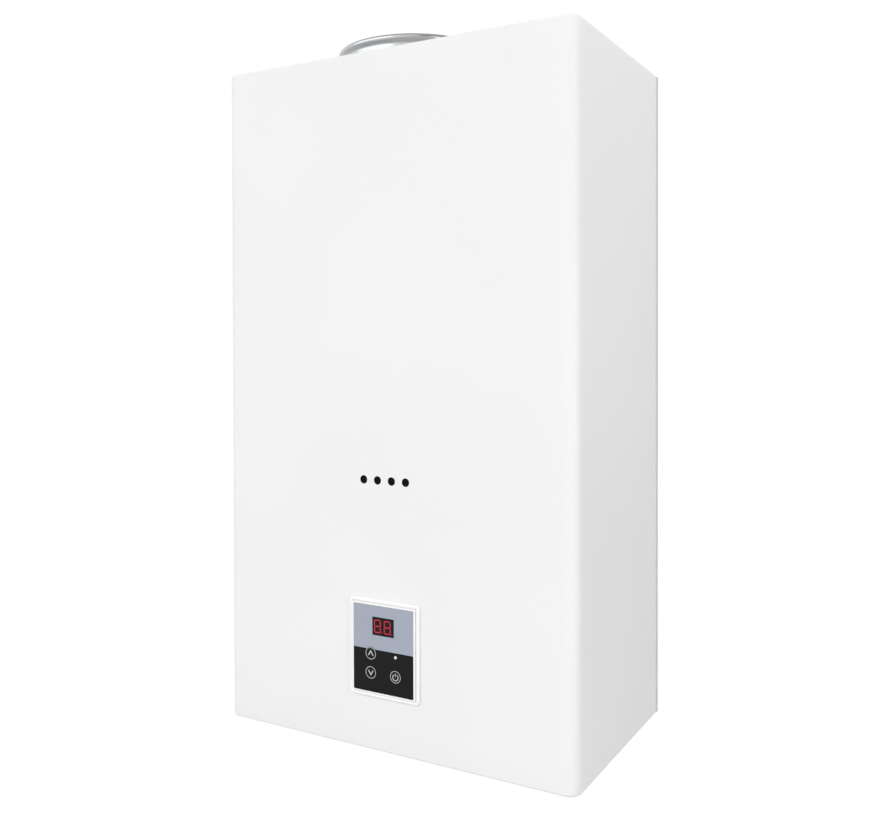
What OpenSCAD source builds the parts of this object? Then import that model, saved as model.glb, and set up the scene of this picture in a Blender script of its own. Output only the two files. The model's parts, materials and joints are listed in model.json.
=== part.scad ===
// Wall-hung instantaneous gas water heater with a flue collar, sight holes and a key panel.
// The origin is midway between the two hanging holes, on the wall plane.
// +Z is up, +Y points into the wall and the front faces -Y. Lengths are in millimetres.

/* [Case] */
// Width over the cover's sides
case_w = 342; // [336:1:360]
// Depth from the wall to the front face
case_d = 204; // [203:1:220]
// Height of the case
case_h = 590; // [580:1:640]
// Thickness of the sheet steel
sheet_t = 1; // [0.8:0.1:1.2]
// Outer radius of the two upright front bends
bend_r = 11; // [8:0.5:14]
// Width of the lips folded in at the top and bottom of the cover
lip_w = 12; // [11:0.5:12.5]
// Gap between the cover and the chassis behind it
fit_gap = 0.3; // [0.2:0.05:0.5]
// Seam between the cover's rear edge and the back plate
seam_gap = 0.6; // [0.4:0.1:1.2]
// Depth of the back plate's side flanges
flange_d = 18; // [12:1:24]

/* [Wall fixing] */
// Wall fixing holes in from the sides of the case
hang_inset = 61; // [50:1:70]
// Hanging holes below the top of the case
hang_drop = 40; // [36:1:60]
// Lower fixing holes above the bottom of the case
low_fix_z = 30; // [26:1:36]
// Radius of the wall fixing holes
fix_hole_r = 4; // [3:0.5:5]
// Width of the pressed stiffening ribs
rib_w = 20; // [14:1:26]
// Depth of the pressed stiffening ribs
rib_d = 4; // [2:0.5:6]

/* [Flue] */
// Flue axis to the right of the middle
flue_x = -25; // [-30:1:30]
// Flue axis in front of the middle of the shell
flue_lead = 12; // [6:1:13]
// Inner radius of the collar
flue_r = 65.5; // [55:0.5:66]
// Height of the collar's rim above the case
collar_rise = 19.5; // [15:0.5:50]
// Thickness of the collar's sheet
collar_t = 1; // [0.8:0.1:1.5]
// Radius of the rolled bead on the rim
bead_r = 1.9; // [1.5:0.1:3]
// Width of the collar's flange
collar_flange = 9; // [8:0.5:10]
// Height of the round spigot on the hood
spigot_h = 22; // [10:1:30]

/* [Heat exchanger] */
// Room for pipe bends to each side of the combustion shell
side_room = 53; // [52.5:0.5:57]
// Room in front of the combustion shell
front_room = 29; // [28:0.5:32]
// Height of the combustion shell
shell_h = 198; // [186:1:210]
// Bottom edge of the shell above the case bottom
shell_base = 214; // [210:1:230]
// Gap between the wall and the shell
shell_back = 25; // [24:0.5:27]
// Thickness of the shell and the hood
shell_t = 1.2; // [0.8:0.1:1.5]
// Height of the fin plates
fin_h = 46; // [40:1:52]
// Distance between fin plates
fin_pitch = 5; // [4:0.5:8]
// Thickness of a fin plate
fin_t = 0.5; // [0.3:0.1:1]
// Distance from the fins to the top of the shell
fin_drop = 4; // [2:0.5:8]
// Number of passes of the finned tube
tube_count = 5; // [3:2:5]
// Outer diameter of the finned tube
tube_od = 16; // [12:0.5:18]
// Outer passes of the finned tube in from the shell's front and rear
tube_margin = 19; // [18:0.5:22]
// Outer diameter of the water pipes
pipe_od = 14; // [12:0.5:15]
// Wall of the water and gas pipes
pipe_t = 1; // [0.8:0.1:1.5]
// Bend radius of the water pipes
pipe_bend = 22; // [19:0.5:23]
// Gap between the jacket coil and the shell
coil_gap = 0.3; // [0.2:0.05:0.6]
// Lower loop of the jacket coil above the shell's bottom edge, clear of the feed
loop_low = 48; // [46:1:54]
// Rise from the lower loop to the upper loop
loop_rise = 48; // [44:1:50]
// Clearance of brazed and pushed-in joints
joint_gap = 0.1; // [0.05:0.05:0.2]

/* [Burner] */
// Room between the outer burner bars and the shell's sides
bar_margin = 12; // [11:0.5:14]
// Distance between burner bars
bar_pitch = 17.5; // [16:0.5:17.5]
// Width of a burner bar's head
bar_head_w = 10; // [8:0.5:12]
// Height of a burner bar's head
bar_head_h = 12; // [8:1:16]
// Outer radius of a bar's venturi tube
venturi_r = 7; // [6:0.5:7.5]
// Wall of a bar's venturi tube
venturi_t = 1.2; // [1:0.1:2]
// Distance between the flame ports along a bar
port_pitch = 9; // [6:0.5:14]
// Width of a flame port
port_w = 1.6; // [1:0.1:3]
// Height of the burner frame
frame_h = 68; // [64:1:72]
// Thickness of the burner frame
frame_t = 1.2; // [0.8:0.1:1.5]
// Side of the square gas manifold
manifold_s = 14; // [12:0.5:15]
// Gap between the burner frame and the manifold
manifold_gap = 8; // [7:0.5:9]

/* [Connections] */
// Water connections in from the sides of the case
pipe_inset = 71; // [69:1:75]
// Pipe connections in front of the wall
pipe_back = 70; // [66:1:74]
// Radius of the connection threads, half-inch parallel pipe
thread_r = 10.48; // [9.58:0.1:11.98]
// Length of the connection threads
thread_l = 22; // [16:1:24]
// Length of the connections below the case
nipple_drop = 30; // [28:1:40]
// Bore radius of the connections
nipple_bore = 7.5; // [6:0.5:8]
// Top of the water connections above the case bottom
nipple_top = 40; // [38:1:46]

/* [Gas valve] */
// Width of the valve body
valve_w = 64; // [60:1:70]
// Depth of the valve body
valve_d = 56; // [52:1:60]
// Room between the solenoids and the burner frame
valve_room = 14; // [12:1:20]
// Bottom of the valve body above the case bottom
valve_base = 36; // [32:1:36]
// Distance between the two solenoids
solenoid_pitch = 32; // [30:0.5:34]
// Radius of a solenoid winding
solenoid_r = 12.5; // [10:0.5:13]
// Height of a solenoid winding
solenoid_h = 28; // [26:1:30]
// Radius of a solenoid plunger
plunger_r = 5; // [4:0.1:5.5]
// Running clearance of the plungers, pivots and hinge pin
run_gap = 0.05; // [0.03:0.01:0.08]

/* [Flow sensor] */
// Outer radius of the sensor body
sensor_r = 14; // [13:0.5:15]
// Length of the sensor body
sensor_h = 44; // [40:1:46]
// Bore radius of the sensor body
sensor_bore = 9.2; // [8:0.2:9.6]
// Radius of the rotor's pivots
pivot_r = 1; // [0.8:0.1:1.5]
// Number of rotor vanes
vane_count = 5; // [3:1:6]

/* [Battery] */
// Radius of a battery cell
cell_r = 16.6; // [16:0.1:17]
// Length of a battery cell
cell_h = 61.5; // [58:0.5:62]
// Wall of the battery box
box_t = 1.5; // [1.2:0.1:2]
// Middle of the battery box in from the side of the case
battery_inset = 63; // [59:1:65]
// Middle of the battery box behind the front of the case
battery_front = 38; // [38:0.5:41]

/* [Control panel] */
// Width of the bezel
panel_w = 69; // [67:0.5:70]
// Height of the bezel
panel_h = 83; // [81:0.5:84]
// Middle of the panel above the case bottom
panel_z = 87; // [80:1:94]
// Height of the bezel above the front face
bezel_rise = 3; // [2.8:0.1:4]
// Width of the printed overlay
overlay_w = 59; // [58:0.5:60]
// Height of the printed overlay
overlay_h = 73; // [72:0.5:74]
// Width of the display window
display_w = 21.3; // [18:0.1:24]
// Height of the display window
display_h = 15.4; // [12:0.1:16]
// Middle of the display above the middle of the panel
display_up = 19.4; // [18:0.1:22]
// Keys to each side of the middle of the panel
key_x = 12.2; // [9:0.1:16]
// Upper key below the middle of the panel
key_high = 4.2; // [3:0.1:5]
// Lower keys below the middle of the panel
key_low = 20.4; // [19:0.1:24]
// Radius of a key cap
key_r = 5.2; // [4:0.1:6]
// Travel of a key
key_travel = 0.5; // [0.3:0.05:0.6]

/* [Sight holes] */
// Number of sight holes
sight_count = 4; // [2:1:5]
// Distance between sight holes
sight_pitch = 13.8; // [10:0.1:16]
// Radius of a sight hole
sight_r = 3.5; // [2.5:0.1:4.5]
// Sight holes above the shell's bottom edge
sight_up = 14.5; // [12:0.5:22]

/* [Hidden] */
$fn = 48;
eps = 0.01;

// Plan sizes that follow the case
hang_span = case_w - 2 * hang_inset;
shell_w = case_w - 2 * side_room;
shell_d = case_d - shell_back - front_room;
flue_back = shell_back + shell_d / 2 + flue_lead;
pipe_x = case_w / 2 - pipe_inset;
battery_x = case_w / 2 - battery_inset;
battery_back = case_d - battery_front;

// Heights above the case bottom
hang_z = case_h - hang_drop;
floor_z = sheet_t + fit_gap;
floor_top = floor_z + sheet_t;
roof_top = case_h - sheet_t - fit_gap;
roof_z = roof_top - sheet_t;
shell_top = shell_base + shell_h;
frame_z = shell_base - frame_h;
fin_base = shell_top - fin_drop - fin_h;
sight_z = shell_base + sight_up;
tube_z = fin_base + fin_h / 2;
venturi_up = 12;
slit_w = 1.2;
venturi_z = frame_z + venturi_up;
electrode_up = 8;
electrode_z = shell_base + electrode_up;
thermostat_drop = 22;
thermostat_z = fin_base - thermostat_drop;
bar_drop = 6;
bar_top = shell_base - bar_drop;

// Depths in front of the wall, as negative Y
back_y = -sheet_t;
front_y = -case_d;
inside_y = front_y + sheet_t;
shell_y = -shell_back - shell_d / 2;
shell_front = shell_y - shell_d / 2;
shell_rear = -shell_back;
pipe_y = -pipe_back;

// Sheet that folds backwards and forwards between the chassis and the case
panel_flange_h = 15;
folded_inset = sheet_t + fit_gap;

// Round spigot of the hood, wider than the collar so that the flue pipe can pass
spigot_gap = 3;
spigot_r = flue_r + spigot_gap + shell_t;
spigot_z = roof_z - fit_gap - spigot_h;

// Pipe routes
coil_off = coil_gap + pipe_od / 2;
coil_x = shell_w / 2 + coil_off;
coil_front = shell_front - coil_off;
coil_rear = shell_rear + coil_off;
coil_z1 = shell_base + loop_low;
coil_z2 = coil_z1 + loop_rise;
corner_r = pipe_bend - coil_off;
riser_x = coil_x + pipe_bend;
stub = 2.5;
tube_end = shell_w / 2 + stub;
tube_pitch = (shell_d - 2 * tube_margin) / (tube_count - 1);
u_bend = tube_pitch / 2;
u_x = tube_end + u_bend;
sensor_top = nipple_top + sensor_h;
feed_z = sensor_top + pipe_bend;
climb_y = coil_rear - 2 * pipe_bend - coil_gap;
hot_gap = 19;
hot_turn_z = frame_z - hot_gap - pipe_od / 2;

function tube_y(i) = shell_y + (i - (tube_count - 1) / 2) * tube_pitch;

// The finned tube starts on the right at the rear and ends on the left at the front
last_tube = tube_count - 1;
fin_route = concat(
    [[tube_end, tube_y(last_tube), tube_z]],
    [for (i = [last_tube : -1 : 1], y = [tube_y(i), tube_y(i - 1)])
        [(last_tube - i) % 2 == 0 ? -u_x : u_x, y, tube_z]],
    [[-tube_end, tube_y(0), tube_z]]
);
coil_route = [
    [pipe_x, pipe_y, sensor_top],
    [pipe_x, pipe_y, feed_z],
    [coil_x, pipe_y, feed_z],
    [coil_x, pipe_y, coil_z1],
    [coil_x, coil_front, coil_z1],
    [-coil_x, coil_front, coil_z1],
    [-coil_x, coil_rear, coil_z1],
    [coil_x, coil_rear, coil_z1],
    [coil_x, climb_y, coil_z1],
    [coil_x, climb_y, coil_z2],
    [coil_x, coil_front, coil_z2],
    [-coil_x, coil_front, coil_z2],
    [-coil_x, coil_rear, coil_z2],
    [riser_x, coil_rear, coil_z2],
    [riser_x, coil_rear, tube_z],
    [riser_x, tube_y(last_tube), tube_z],
    [tube_end, tube_y(last_tube), tube_z]
];
hot_route = [
    [-tube_end, tube_y(0), tube_z],
    [-riser_x, tube_y(0), tube_z],
    [-riser_x, tube_y(0), hot_turn_z],
    [-riser_x, pipe_y, hot_turn_z],
    [-pipe_x, pipe_y, hot_turn_z],
    [-pipe_x, pipe_y, nipple_top]
];

// Gas valve and burner feed
valve_share = 0.6;
valve_front = pipe_y - valve_d * valve_share;
yoke_t = 2;
valve_top = frame_z - valve_room - solenoid_h - 2 * yoke_t;
valve_h = valve_top - valve_base;
solenoid_base = valve_top + yoke_t;
plunger_h = 30;
plunger_drop = 10;
outlet_drop = 20;
outlet_z = valve_top - outlet_drop;
outlet_lead = 10;
outlet_y = pipe_y - outlet_lead;
outlet_l = 8;
gas_bend = 18;
gas_x = valve_w / 2 + outlet_l + gas_bend + 1;
manifold_back = shell_front - manifold_gap;
manifold_y = manifold_back - manifold_s / 2;
manifold_t = 1.5;
bar_count = floor((shell_w - 2 * bar_margin) / bar_pitch);
nozzle_l = 5;
nozzle_r = 2.4;
gas_route = [
    [valve_w / 2 + outlet_l, outlet_y, outlet_z],
    [gas_x, outlet_y, outlet_z],
    [gas_x, manifold_y, outlet_z],
    [gas_x, manifold_y, venturi_z - manifold_s / 2]
];

// Electrodes, their leads and the boxes they come from
electrode_share = 0.3;
electrode_x = electrode_share * shell_w;
ceramic_r = 3.5;
ceramic_in = 6;
ceramic_out = 12;
rod_r = 1;
rod_in = 26;
lead_r = 2;
lead_bend = 6;
lead_y = shell_front - ceramic_out - lead_bend - 1;
lead_x = case_w / 2 - bend_r;
unit_w = 36;
unit_inset = 29;
unit_x = case_w / 2 - unit_inset;
unit_d = 36;
unit_y = back_y - unit_d / 2;
unit_base = 40;
unit_h = 60;
post_r = 5;
post_h = 10;
post_z = unit_base + unit_h + post_h;
spark_turn_z = post_z + 2 * post_h;
ctrl_w = 64;
ctrl_d = 36;
ctrl_h = 88;
ctrl_inset = 53;
ctrl_x = ctrl_inset - case_w / 2;
ctrl_front = 36;
ctrl_y = ctrl_front - case_d;
ctrl_top = floor_top + ctrl_h;
lid_y = ctrl_y - ctrl_d / 2;
lid_t = 2;
lid_rim = 4;
lid_r = 3;
flame_x = ctrl_x - 12;
flame_side_x = 5 - lead_x;
flame_turn_z = ctrl_top + 40;
spark_route = [
    [unit_x, unit_y, post_z],
    [unit_x, unit_y, spark_turn_z],
    [lead_x, unit_y, spark_turn_z],
    [lead_x, lead_y, spark_turn_z],
    [lead_x, lead_y, electrode_z],
    [electrode_x, lead_y, electrode_z],
    [electrode_x, shell_front - ceramic_out, electrode_z]
];
flame_route = [
    [flame_x, ctrl_y, ctrl_top],
    [flame_x, ctrl_y, flame_turn_z],
    [flame_side_x, ctrl_y, flame_turn_z],
    [flame_side_x, lead_y, flame_turn_z],
    [flame_side_x, lead_y, electrode_z],
    [-electrode_x, lead_y, electrode_z],
    [-electrode_x, shell_front - ceramic_out, electrode_z]
];

// Battery box
cell_gap = 1;
cell_pitch = 2 * cell_r + cell_gap;
cell_room = 2.5;
box_w = 2 * (cell_pitch + box_t) + cell_room + 1.5;
box_d = 2 * (cell_r + box_t + cell_room);
box_lip = 4;
box_lip_t = 1.2;
mouth_z = -4;
door_t = 2;
door_gap = 0.5;
bridge_t = 0.4;
cell_z = mouth_z + door_t + bridge_t + joint_gap;
contact_t = 0.5;
box_roof = cell_z + cell_h + contact_t;
battery_y = -battery_back;
hinge_out = 1;
hinge_y = battery_y + box_d / 2 + hinge_out;
hinge_z = mouth_z + door_t / 2;
hinge_pin_r = 1;
pin_fit = 0.02;
knuckle_r = 2.4;
lug_w = 3;
lug_r = 3;
door_w = box_w - 2 * box_t - 2 * door_gap;

// Control panel, as depths behind and in front of the case front
bezel_y = front_y - bezel_rise;
tier_h = 1.8;
tier_w = 2.4;
overlay_in = 0.4;
overlay_t = 0.8;
overlay_y = bezel_y + overlay_in;
overlay_back = overlay_y + overlay_t;
overlay_r = 1.4;
ledge_t = 1.2;
ledge_w = 2;
window_rim = 1.5;
window_w = overlay_w + 2 * window_rim;
window_h = overlay_h + 2 * window_rim + 0.5;
window_r = 3;
skirt_w = window_w - 2 * fit_gap;
skirt_h = window_h - 2 * fit_gap;
skirt_t = 1.5;
skirt_l = 5;
skirt_back = front_y + skirt_l;
board_y = skirt_back + 0.4;
board_t = 1.6;
tray_t = 2;
tray_room = 8;
tray_back = board_y + board_t + tray_room;
tray_gap = 0.1;
key_proud = 0.2;
key_gap = 0.25;
key_lip = 1;
key_lip_t = 0.7;
key_stem_r = 2.5;
switch_w = 6;
switch_h = 1.6;
switch_tip_r = 1.7;
switch_tip = board_y - switch_h - 1.2;
key_end = switch_tip - key_travel - 0.1;
key_places = [[-key_x, panel_z - key_high], [-key_x, panel_z - key_low], [key_x, panel_z - key_low]];
display_z = panel_z + display_up;
led_z = panel_z - key_high;
led_r = 1.25;
led_foot = 0.4;
digit_h = 10.3;
digit_w = 5.8;
digit_left = 0.7;
segment_w = 0.95;
segment_gap = 0.2;
segment_t = 0.15;
digit_pitch = 9.7;
dot_r = 0.5;

// Sight glass
glass_rim = 3;
glass_w = (sight_count - 1) * sight_pitch + 4 * sight_r + 2 * glass_rim;
glass_h = 16;
glass_t = 2;
glass_r = 2;

// Small parts
slot_w = 4;
slot_l = 20;
slot_gap = 8;
slot_step = 9;
slot_columns = 4;
slot_rows = 7;
slot_y = battery_y - 2 * slot_step;
screw_r = 2;
screw_l = 8;
screw_head_r = 3.8;
screw_head_h = 2.2;
screw_x = case_w / 2 - lip_w / 2;
screw_y = -14;
rivet_r = 1.5;
rivet_head_r = 3;
rivet_head_h = 1.8;
fixing_share = 0.6;
rib_end_gap = 40;
rib_r = rib_w / 2 - 1;
bracket_t = 1.2;
bracket_w = 20;
bracket_gap = 3;
bracket_x = shell_w / 2 - corner_r - bracket_w / 2 - fit_gap;
rib_x = bracket_x - bracket_w / 2 - bracket_gap - rib_w / 2;
bracket_heights = [frame_z + 30, shell_base + 18, thermostat_z];
boss_r = 8;
boss_bore = 5;
drain_x = pipe_x + thread_r + 2 * boss_r - 0.5;
drain_z = nipple_top / 2;
seal_r = thread_r + 5.5;
seal_h = 3;
hex_r = 14;
sensor_end = 6;
hub_r = 3;
pickup_w = 16;
pickup_out = 9;
probe_r = 2.5;
probe_y = pipe_y - thread_r - 6;

// Moves a piece from heights above the case bottom to the hanging holes' frame
module in_frame() {
    translate([0, 0, -hang_z]) children();
}

// Rounded rectangle about the origin, from two bars and four corner discs
module rounded_rect(w, h, r) {
    square([w, h - 2 * r], center = true);
    square([w - 2 * r, h], center = true);
    for (sx = [-1, 1], sy = [-1, 1])
        translate([sx * (w / 2 - r), sy * (h / 2 - r)]) circle(r);
}

// Plan outline of the case, square at the wall and rounded at the front corners
module case_outline(inset, rear) {
    half = case_w / 2 - inset;
    front = case_d - inset;
    r = max(bend_r - inset, 1);
    translate([-half, r - front]) square([2 * half, front - r - rear]);
    translate([r - half, -front]) square([2 * (half - r), r + 1]);
    for (side = [-1, 1])
        translate([side * (half - r), r - front]) circle(r);
}

// Stands an outline drawn in X and Z between two depths
module upright(from_y, to_y) {
    translate([0, to_y, 0])
        rotate([90, 0, 0])
            linear_extrude(to_y - from_y) children();
}

// Cylinder along Y between two depths
module y_cylinder(x, z, r, from_y, to_y) {
    translate([x, to_y, z])
        rotate([90, 0, 0]) cylinder(r = r, h = to_y - from_y);
}

// Cylinder along X between two places
module x_cylinder(y, z, r, from_x, to_x) {
    translate([from_x, y, z])
        rotate([0, 90, 0]) cylinder(r = r, h = to_x - from_x);
}

// Box from its low corner to its high corner
module block(low, high) {
    translate(low) cube(high - low);
}

function unit(v) = v / norm(v);
function run_length(pts, i) = norm(pts[i + 1] - pts[i]);
// Share of a run that the corner at either of its ends may take up
function run_share(pts, i) = run_length(pts, i) * (i == 0 || i == len(pts) - 2 ? 1 : 0.5);
// Bend radius at a corner, and nothing at the two ends of the pipe
function corner_bend(pts, i, bend) =
    i == 0 || i == len(pts) - 1 ? 0 : min(bend, run_share(pts, i - 1), run_share(pts, i));
function across(d) = unit(abs(d[2]) < 0.9 ? cross(d, [0, 0, 1]) : cross(d, [1, 0, 0]));

// Places a shape drawn about the origin on a corner and two axes
module on_axes(origin, x_axis, y_axis) {
    z_axis = cross(x_axis, y_axis);
    multmatrix([
        [x_axis[0], y_axis[0], z_axis[0], origin[0]],
        [x_axis[1], y_axis[1], z_axis[1], origin[1]],
        [x_axis[2], y_axis[2], z_axis[2], origin[2]],
        [0, 0, 0, 1]
    ]) children();
}

module tube_section(od, wall) {
    difference() {
        circle(od / 2);
        if (wall > 0) circle(od / 2 - wall);
    }
}

// Bent pipe with square corners: straight runs joined by quarter-turn elbows
module pipe_run(pts, bend, od, wall) {
    $fn = 28;
    for (i = [0 : len(pts) - 2]) {
        d = unit(pts[i + 1] - pts[i]);
        start = corner_bend(pts, i, bend);
        run = run_length(pts, i) - start - corner_bend(pts, i + 1, bend);
        side = across(d);
        if (run > eps)
            on_axes(pts[i] + d * start, side, cross(d, side))
                linear_extrude(run) tube_section(od, wall);
    }
    for (i = [1 : len(pts) - 2]) {
        before = unit(pts[i] - pts[i - 1]);
        after = unit(pts[i + 1] - pts[i]);
        r = corner_bend(pts, i, bend);
        on_axes(pts[i] + (after - before) * r, -after, before)
            rotate_extrude(angle = 90)
                translate([r, 0]) tube_section(od, wall);
    }
}

// Pan-head screw pointing up, with the underside of its head at the origin
module pan_screw(r, length, head_r, head_h) {
    translate([0, 0, -head_h]) cylinder(r = head_r, h = head_h);
    translate([0, 0, -eps]) cylinder(r = r, h = length + eps);
}

// Case
module back_plate() {
    half = case_w / 2;
    rib_l = hang_z - low_fix_z - 2 * rib_end_gap;
    rib_middle = (hang_z + low_fix_z) / 2;
    flange_end = panel_flange_h + 2 * sheet_t + fit_gap + 1;
    color("gainsboro") in_frame() difference() {
        union() {
            block([-half, back_y, 0], [half, 0, case_h]);
            for (side = [-1, 1])
                translate([side * (half - folded_inset - sheet_t / 2), 0, 0])
                    block([-sheet_t / 2, -flange_d, flange_end],
                          [sheet_t / 2, back_y + eps, case_h - flange_end]);
            for (side = [-1, 1])
                upright(back_y - rib_d, back_y + eps)
                    translate([side * rib_x, rib_middle]) rounded_rect(rib_w, rib_l, rib_r);
        }
        for (side = [-1, 1])
            upright(back_y - rib_d + sheet_t, 1)
                translate([side * rib_x, rib_middle])
                    rounded_rect(rib_w - 2 * sheet_t, rib_l - 2 * sheet_t, rib_r - sheet_t);
        for (side = [-1, 1], z = [hang_z, low_fix_z])
            y_cylinder(side * hang_span / 2, z, fix_hole_r, -flange_d, 1);
    }
}

module sight_holes(r, from_y, to_y) {
    for (i = [0 : sight_count - 1])
        y_cylinder((i - (sight_count - 1) / 2) * sight_pitch, sight_z, r, from_y, to_y);
}

module front_cover() {
    rear = sheet_t + seam_gap;
    color("white") in_frame() difference() {
        union() {
            linear_extrude(case_h) difference() {
                case_outline(0, rear);
                case_outline(sheet_t, rear - 1);
            }
            for (z = [0, case_h - sheet_t])
                translate([0, 0, z]) linear_extrude(sheet_t) difference() {
                    case_outline(0, rear);
                    case_outline(lip_w, rear - 1);
                }
        }
        upright(front_y - 1, inside_y + 1)
            translate([0, panel_z]) rounded_rect(window_w, window_h, window_r);
        sight_holes(sight_r, front_y - 1, inside_y + 1);
        for (side = [-1, 1]) {
            translate([side * screw_x, screw_y, -1])
                cylinder(r = screw_r + fit_gap, h = sheet_t + 2);
            translate([side * screw_x, 0, 0])
                block([-screw_r - fit_gap, screw_y, -1], [screw_r + fit_gap, 1, sheet_t + 1]);
        }
    }
}

// Flat panel that closes the case inside the cover's lips, with a flange on the back plate
module closing_panel(z, flange_up) {
    half = case_w / 2 - folded_inset - 2 * sheet_t - 1;
    flange_z = flange_up ? z : z - panel_flange_h;
    translate([0, 0, z]) linear_extrude(sheet_t) case_outline(folded_inset, sheet_t);
    block([-half, back_y - sheet_t, flange_z],
          [half, back_y, flange_z + panel_flange_h + sheet_t]);
}

module top_panel() {
    color("whitesmoke") in_frame() difference() {
        closing_panel(roof_z, false);
        translate([flue_x, -flue_back, roof_z - 1]) cylinder(r = flue_r, h = sheet_t + 2);
        collar_fixings() cylinder(r = rivet_r + joint_gap, h = 4 * screw_l, center = true);
    }
}

module bottom_panel() {
    color("whitesmoke") in_frame() difference() {
        closing_panel(floor_z, true);
        for (x = [-pipe_x, 0, pipe_x])
            translate([x, pipe_y, 0]) cylinder(r = thread_r + fit_gap, h = floor_top + 1);
        translate([drain_x, pipe_y, 0]) cylinder(r = boss_bore + 1.5, h = floor_top + 1);
        for (side = [-1, 1])
            translate([side * screw_x, screw_y, 0])
                cylinder(r = screw_r + joint_gap, h = floor_top + 1);
        translate([battery_x, battery_y, 0])
            linear_extrude(floor_top + 1) square([box_w + fit_gap, box_d + fit_gap], center = true);
        for (i = [0 : slot_columns - 1], j = [0 : slot_rows - 1])
            translate([(i - (slot_columns - 1) / 2) * (slot_l + slot_gap), slot_y + j * slot_step, 0])
                linear_extrude(floor_top + 1) rounded_rect(slot_l, slot_w, slot_w / 2 - eps);
    }
}

module cover_screws() {
    color("silver") in_frame()
        for (side = [-1, 1])
            translate([side * screw_x, screw_y, -fit_gap])
                pan_screw(screw_r, screw_l, screw_head_r, screw_head_h);
}

// Flue
module collar_fixings() {
    for (a = [45 : 90 : 315])
        translate([flue_x, -flue_back, roof_top])
            rotate([0, 0, a])
                translate([flue_r + collar_t + fixing_share * collar_flange, 0, 0]) children();
}

module flue_collar() {
    rim = collar_rise + case_h - roof_top;
    color("silver") in_frame() difference() {
        translate([flue_x, -flue_back, roof_top]) rotate_extrude($fn = 96) {
            translate([flue_r, 0]) square([collar_t + collar_flange, collar_t]);
            translate([flue_r, 0]) square([collar_t, rim - bead_r]);
            translate([flue_r + bead_r + 0.1, rim - bead_r]) circle(bead_r);
        }
        collar_fixings() cylinder(r = rivet_r + joint_gap, h = 4 * screw_l, center = true);
    }
}

module collar_screws() {
    color("silver") in_frame()
        collar_fixings()
            translate([0, 0, collar_t])
                mirror([0, 0, 1]) pan_screw(rivet_r, screw_l, rivet_head_r, rivet_head_h);
}

// Loft from the shell's rounded rectangle to the round flue spigot
module hood_loft(inset, overrun) {
    hull() {
        translate([0, shell_y, shell_top - overrun])
            linear_extrude(1)
                rounded_rect(shell_w - 2 * inset, shell_d - 2 * inset, corner_r - inset, $fn = 32);
        translate([flue_x, -flue_back, spigot_z - 1])
            cylinder(r = spigot_r - inset, h = 1 + overrun, $fn = 64);
    }
}

module flue_hood() {
    color("darkgray") in_frame() difference() {
        hood_loft(0, 0);
        hood_loft(shell_t, 0.5);
    }
}

module flue_spigot() {
    color("darkgray") in_frame()
        translate([flue_x, -flue_back, spigot_z])
            linear_extrude(spigot_h) tube_section(2 * spigot_r, shell_t);
}

// Heat exchanger
module exchanger_shell() {
    color("peru") in_frame() difference() {
        translate([0, shell_y, shell_base]) linear_extrude(shell_h) difference() {
            rounded_rect(shell_w, shell_d, corner_r);
            rounded_rect(shell_w - 2 * shell_t, shell_d - 2 * shell_t, corner_r - shell_t);
        }
        for (i = [0 : tube_count - 1])
            x_cylinder(tube_y(i), tube_z, tube_od / 2 + joint_gap, -shell_w, shell_w);
        for (side = [-1, 1])
            y_cylinder(side * electrode_x, electrode_z, ceramic_r + joint_gap,
                       shell_front - 1, shell_front + shell_t + 1);
        upright(shell_front - 1, shell_front + shell_t + 1)
            translate([0, sight_z]) rounded_rect(glass_w - 4 * glass_rim, glass_h - 2 * glass_rim, 4);
    }
}

module exchanger_fins() {
    room = shell_w - 2 * corner_r;
    count = floor(room / fin_pitch);
    depth = shell_d - 2 * shell_t - 2 * joint_gap;
    color("peru") in_frame() difference() {
        for (i = [0 : count])
            translate([(i - count / 2) * fin_pitch, shell_y, fin_base + fin_h / 2])
                cube([fin_t, depth, fin_h], center = true);
        for (i = [0 : tube_count - 1])
            x_cylinder(tube_y(i), tube_z, tube_od / 2 + joint_gap, -shell_w, shell_w);
    }
}

module fin_tubes() {
    color("peru") in_frame() pipe_run(fin_route, u_bend, tube_od, pipe_t);
}

module jacket_coil() {
    color("peru") in_frame() pipe_run(coil_route, pipe_bend, pipe_od, pipe_t);
}

module hot_pipe() {
    color("peru") in_frame() pipe_run(hot_route, pipe_bend, pipe_od, pipe_t);
}

module exchanger_brackets() {
    color("gainsboro") in_frame()
        for (side = [-1, 1], z = bracket_heights)
            translate([side * bracket_x - bracket_w / 2, 0, z]) {
                block([0, back_y - bracket_t, 0], [bracket_w, back_y, bracket_w]);
                block([0, shell_rear, 0], [bracket_w, back_y, bracket_t]);
                block([0, shell_rear, 0], [bracket_w, shell_rear + bracket_t, bracket_w]);
            }
}

module overheat_thermostat() {
    cup_r = 8;
    cup_h = 6;
    cap_h = 3;
    tab = [0.8, 9, 6];
    tab_pitch = 8;
    color("black") in_frame() translate([electrode_x, shell_front, thermostat_z]) {
        y_cylinder(0, 0, cup_r, -cup_h, 0);
        y_cylinder(0, 0, cup_r - cap_h, -cup_h - cap_h, eps - cup_h);
        for (side = [-1, 1])
            translate([side * tab_pitch / 2, 1 - cup_h - tab[1] / 2, 0]) cube(tab, center = true);
    }
}

// Burner
module bar_section() {
    neck_w = slit_w + 2 * venturi_t;
    top = bar_top - venturi_z;
    circle(venturi_r);
    translate([-neck_w / 2, 0]) square([neck_w, top - bar_head_h + 1]);
    translate([-bar_head_w / 2, top - bar_head_h]) square([bar_head_w, bar_head_h]);
}

function bar_x(i) = (i - (bar_count - 1) / 2) * bar_pitch;

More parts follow.
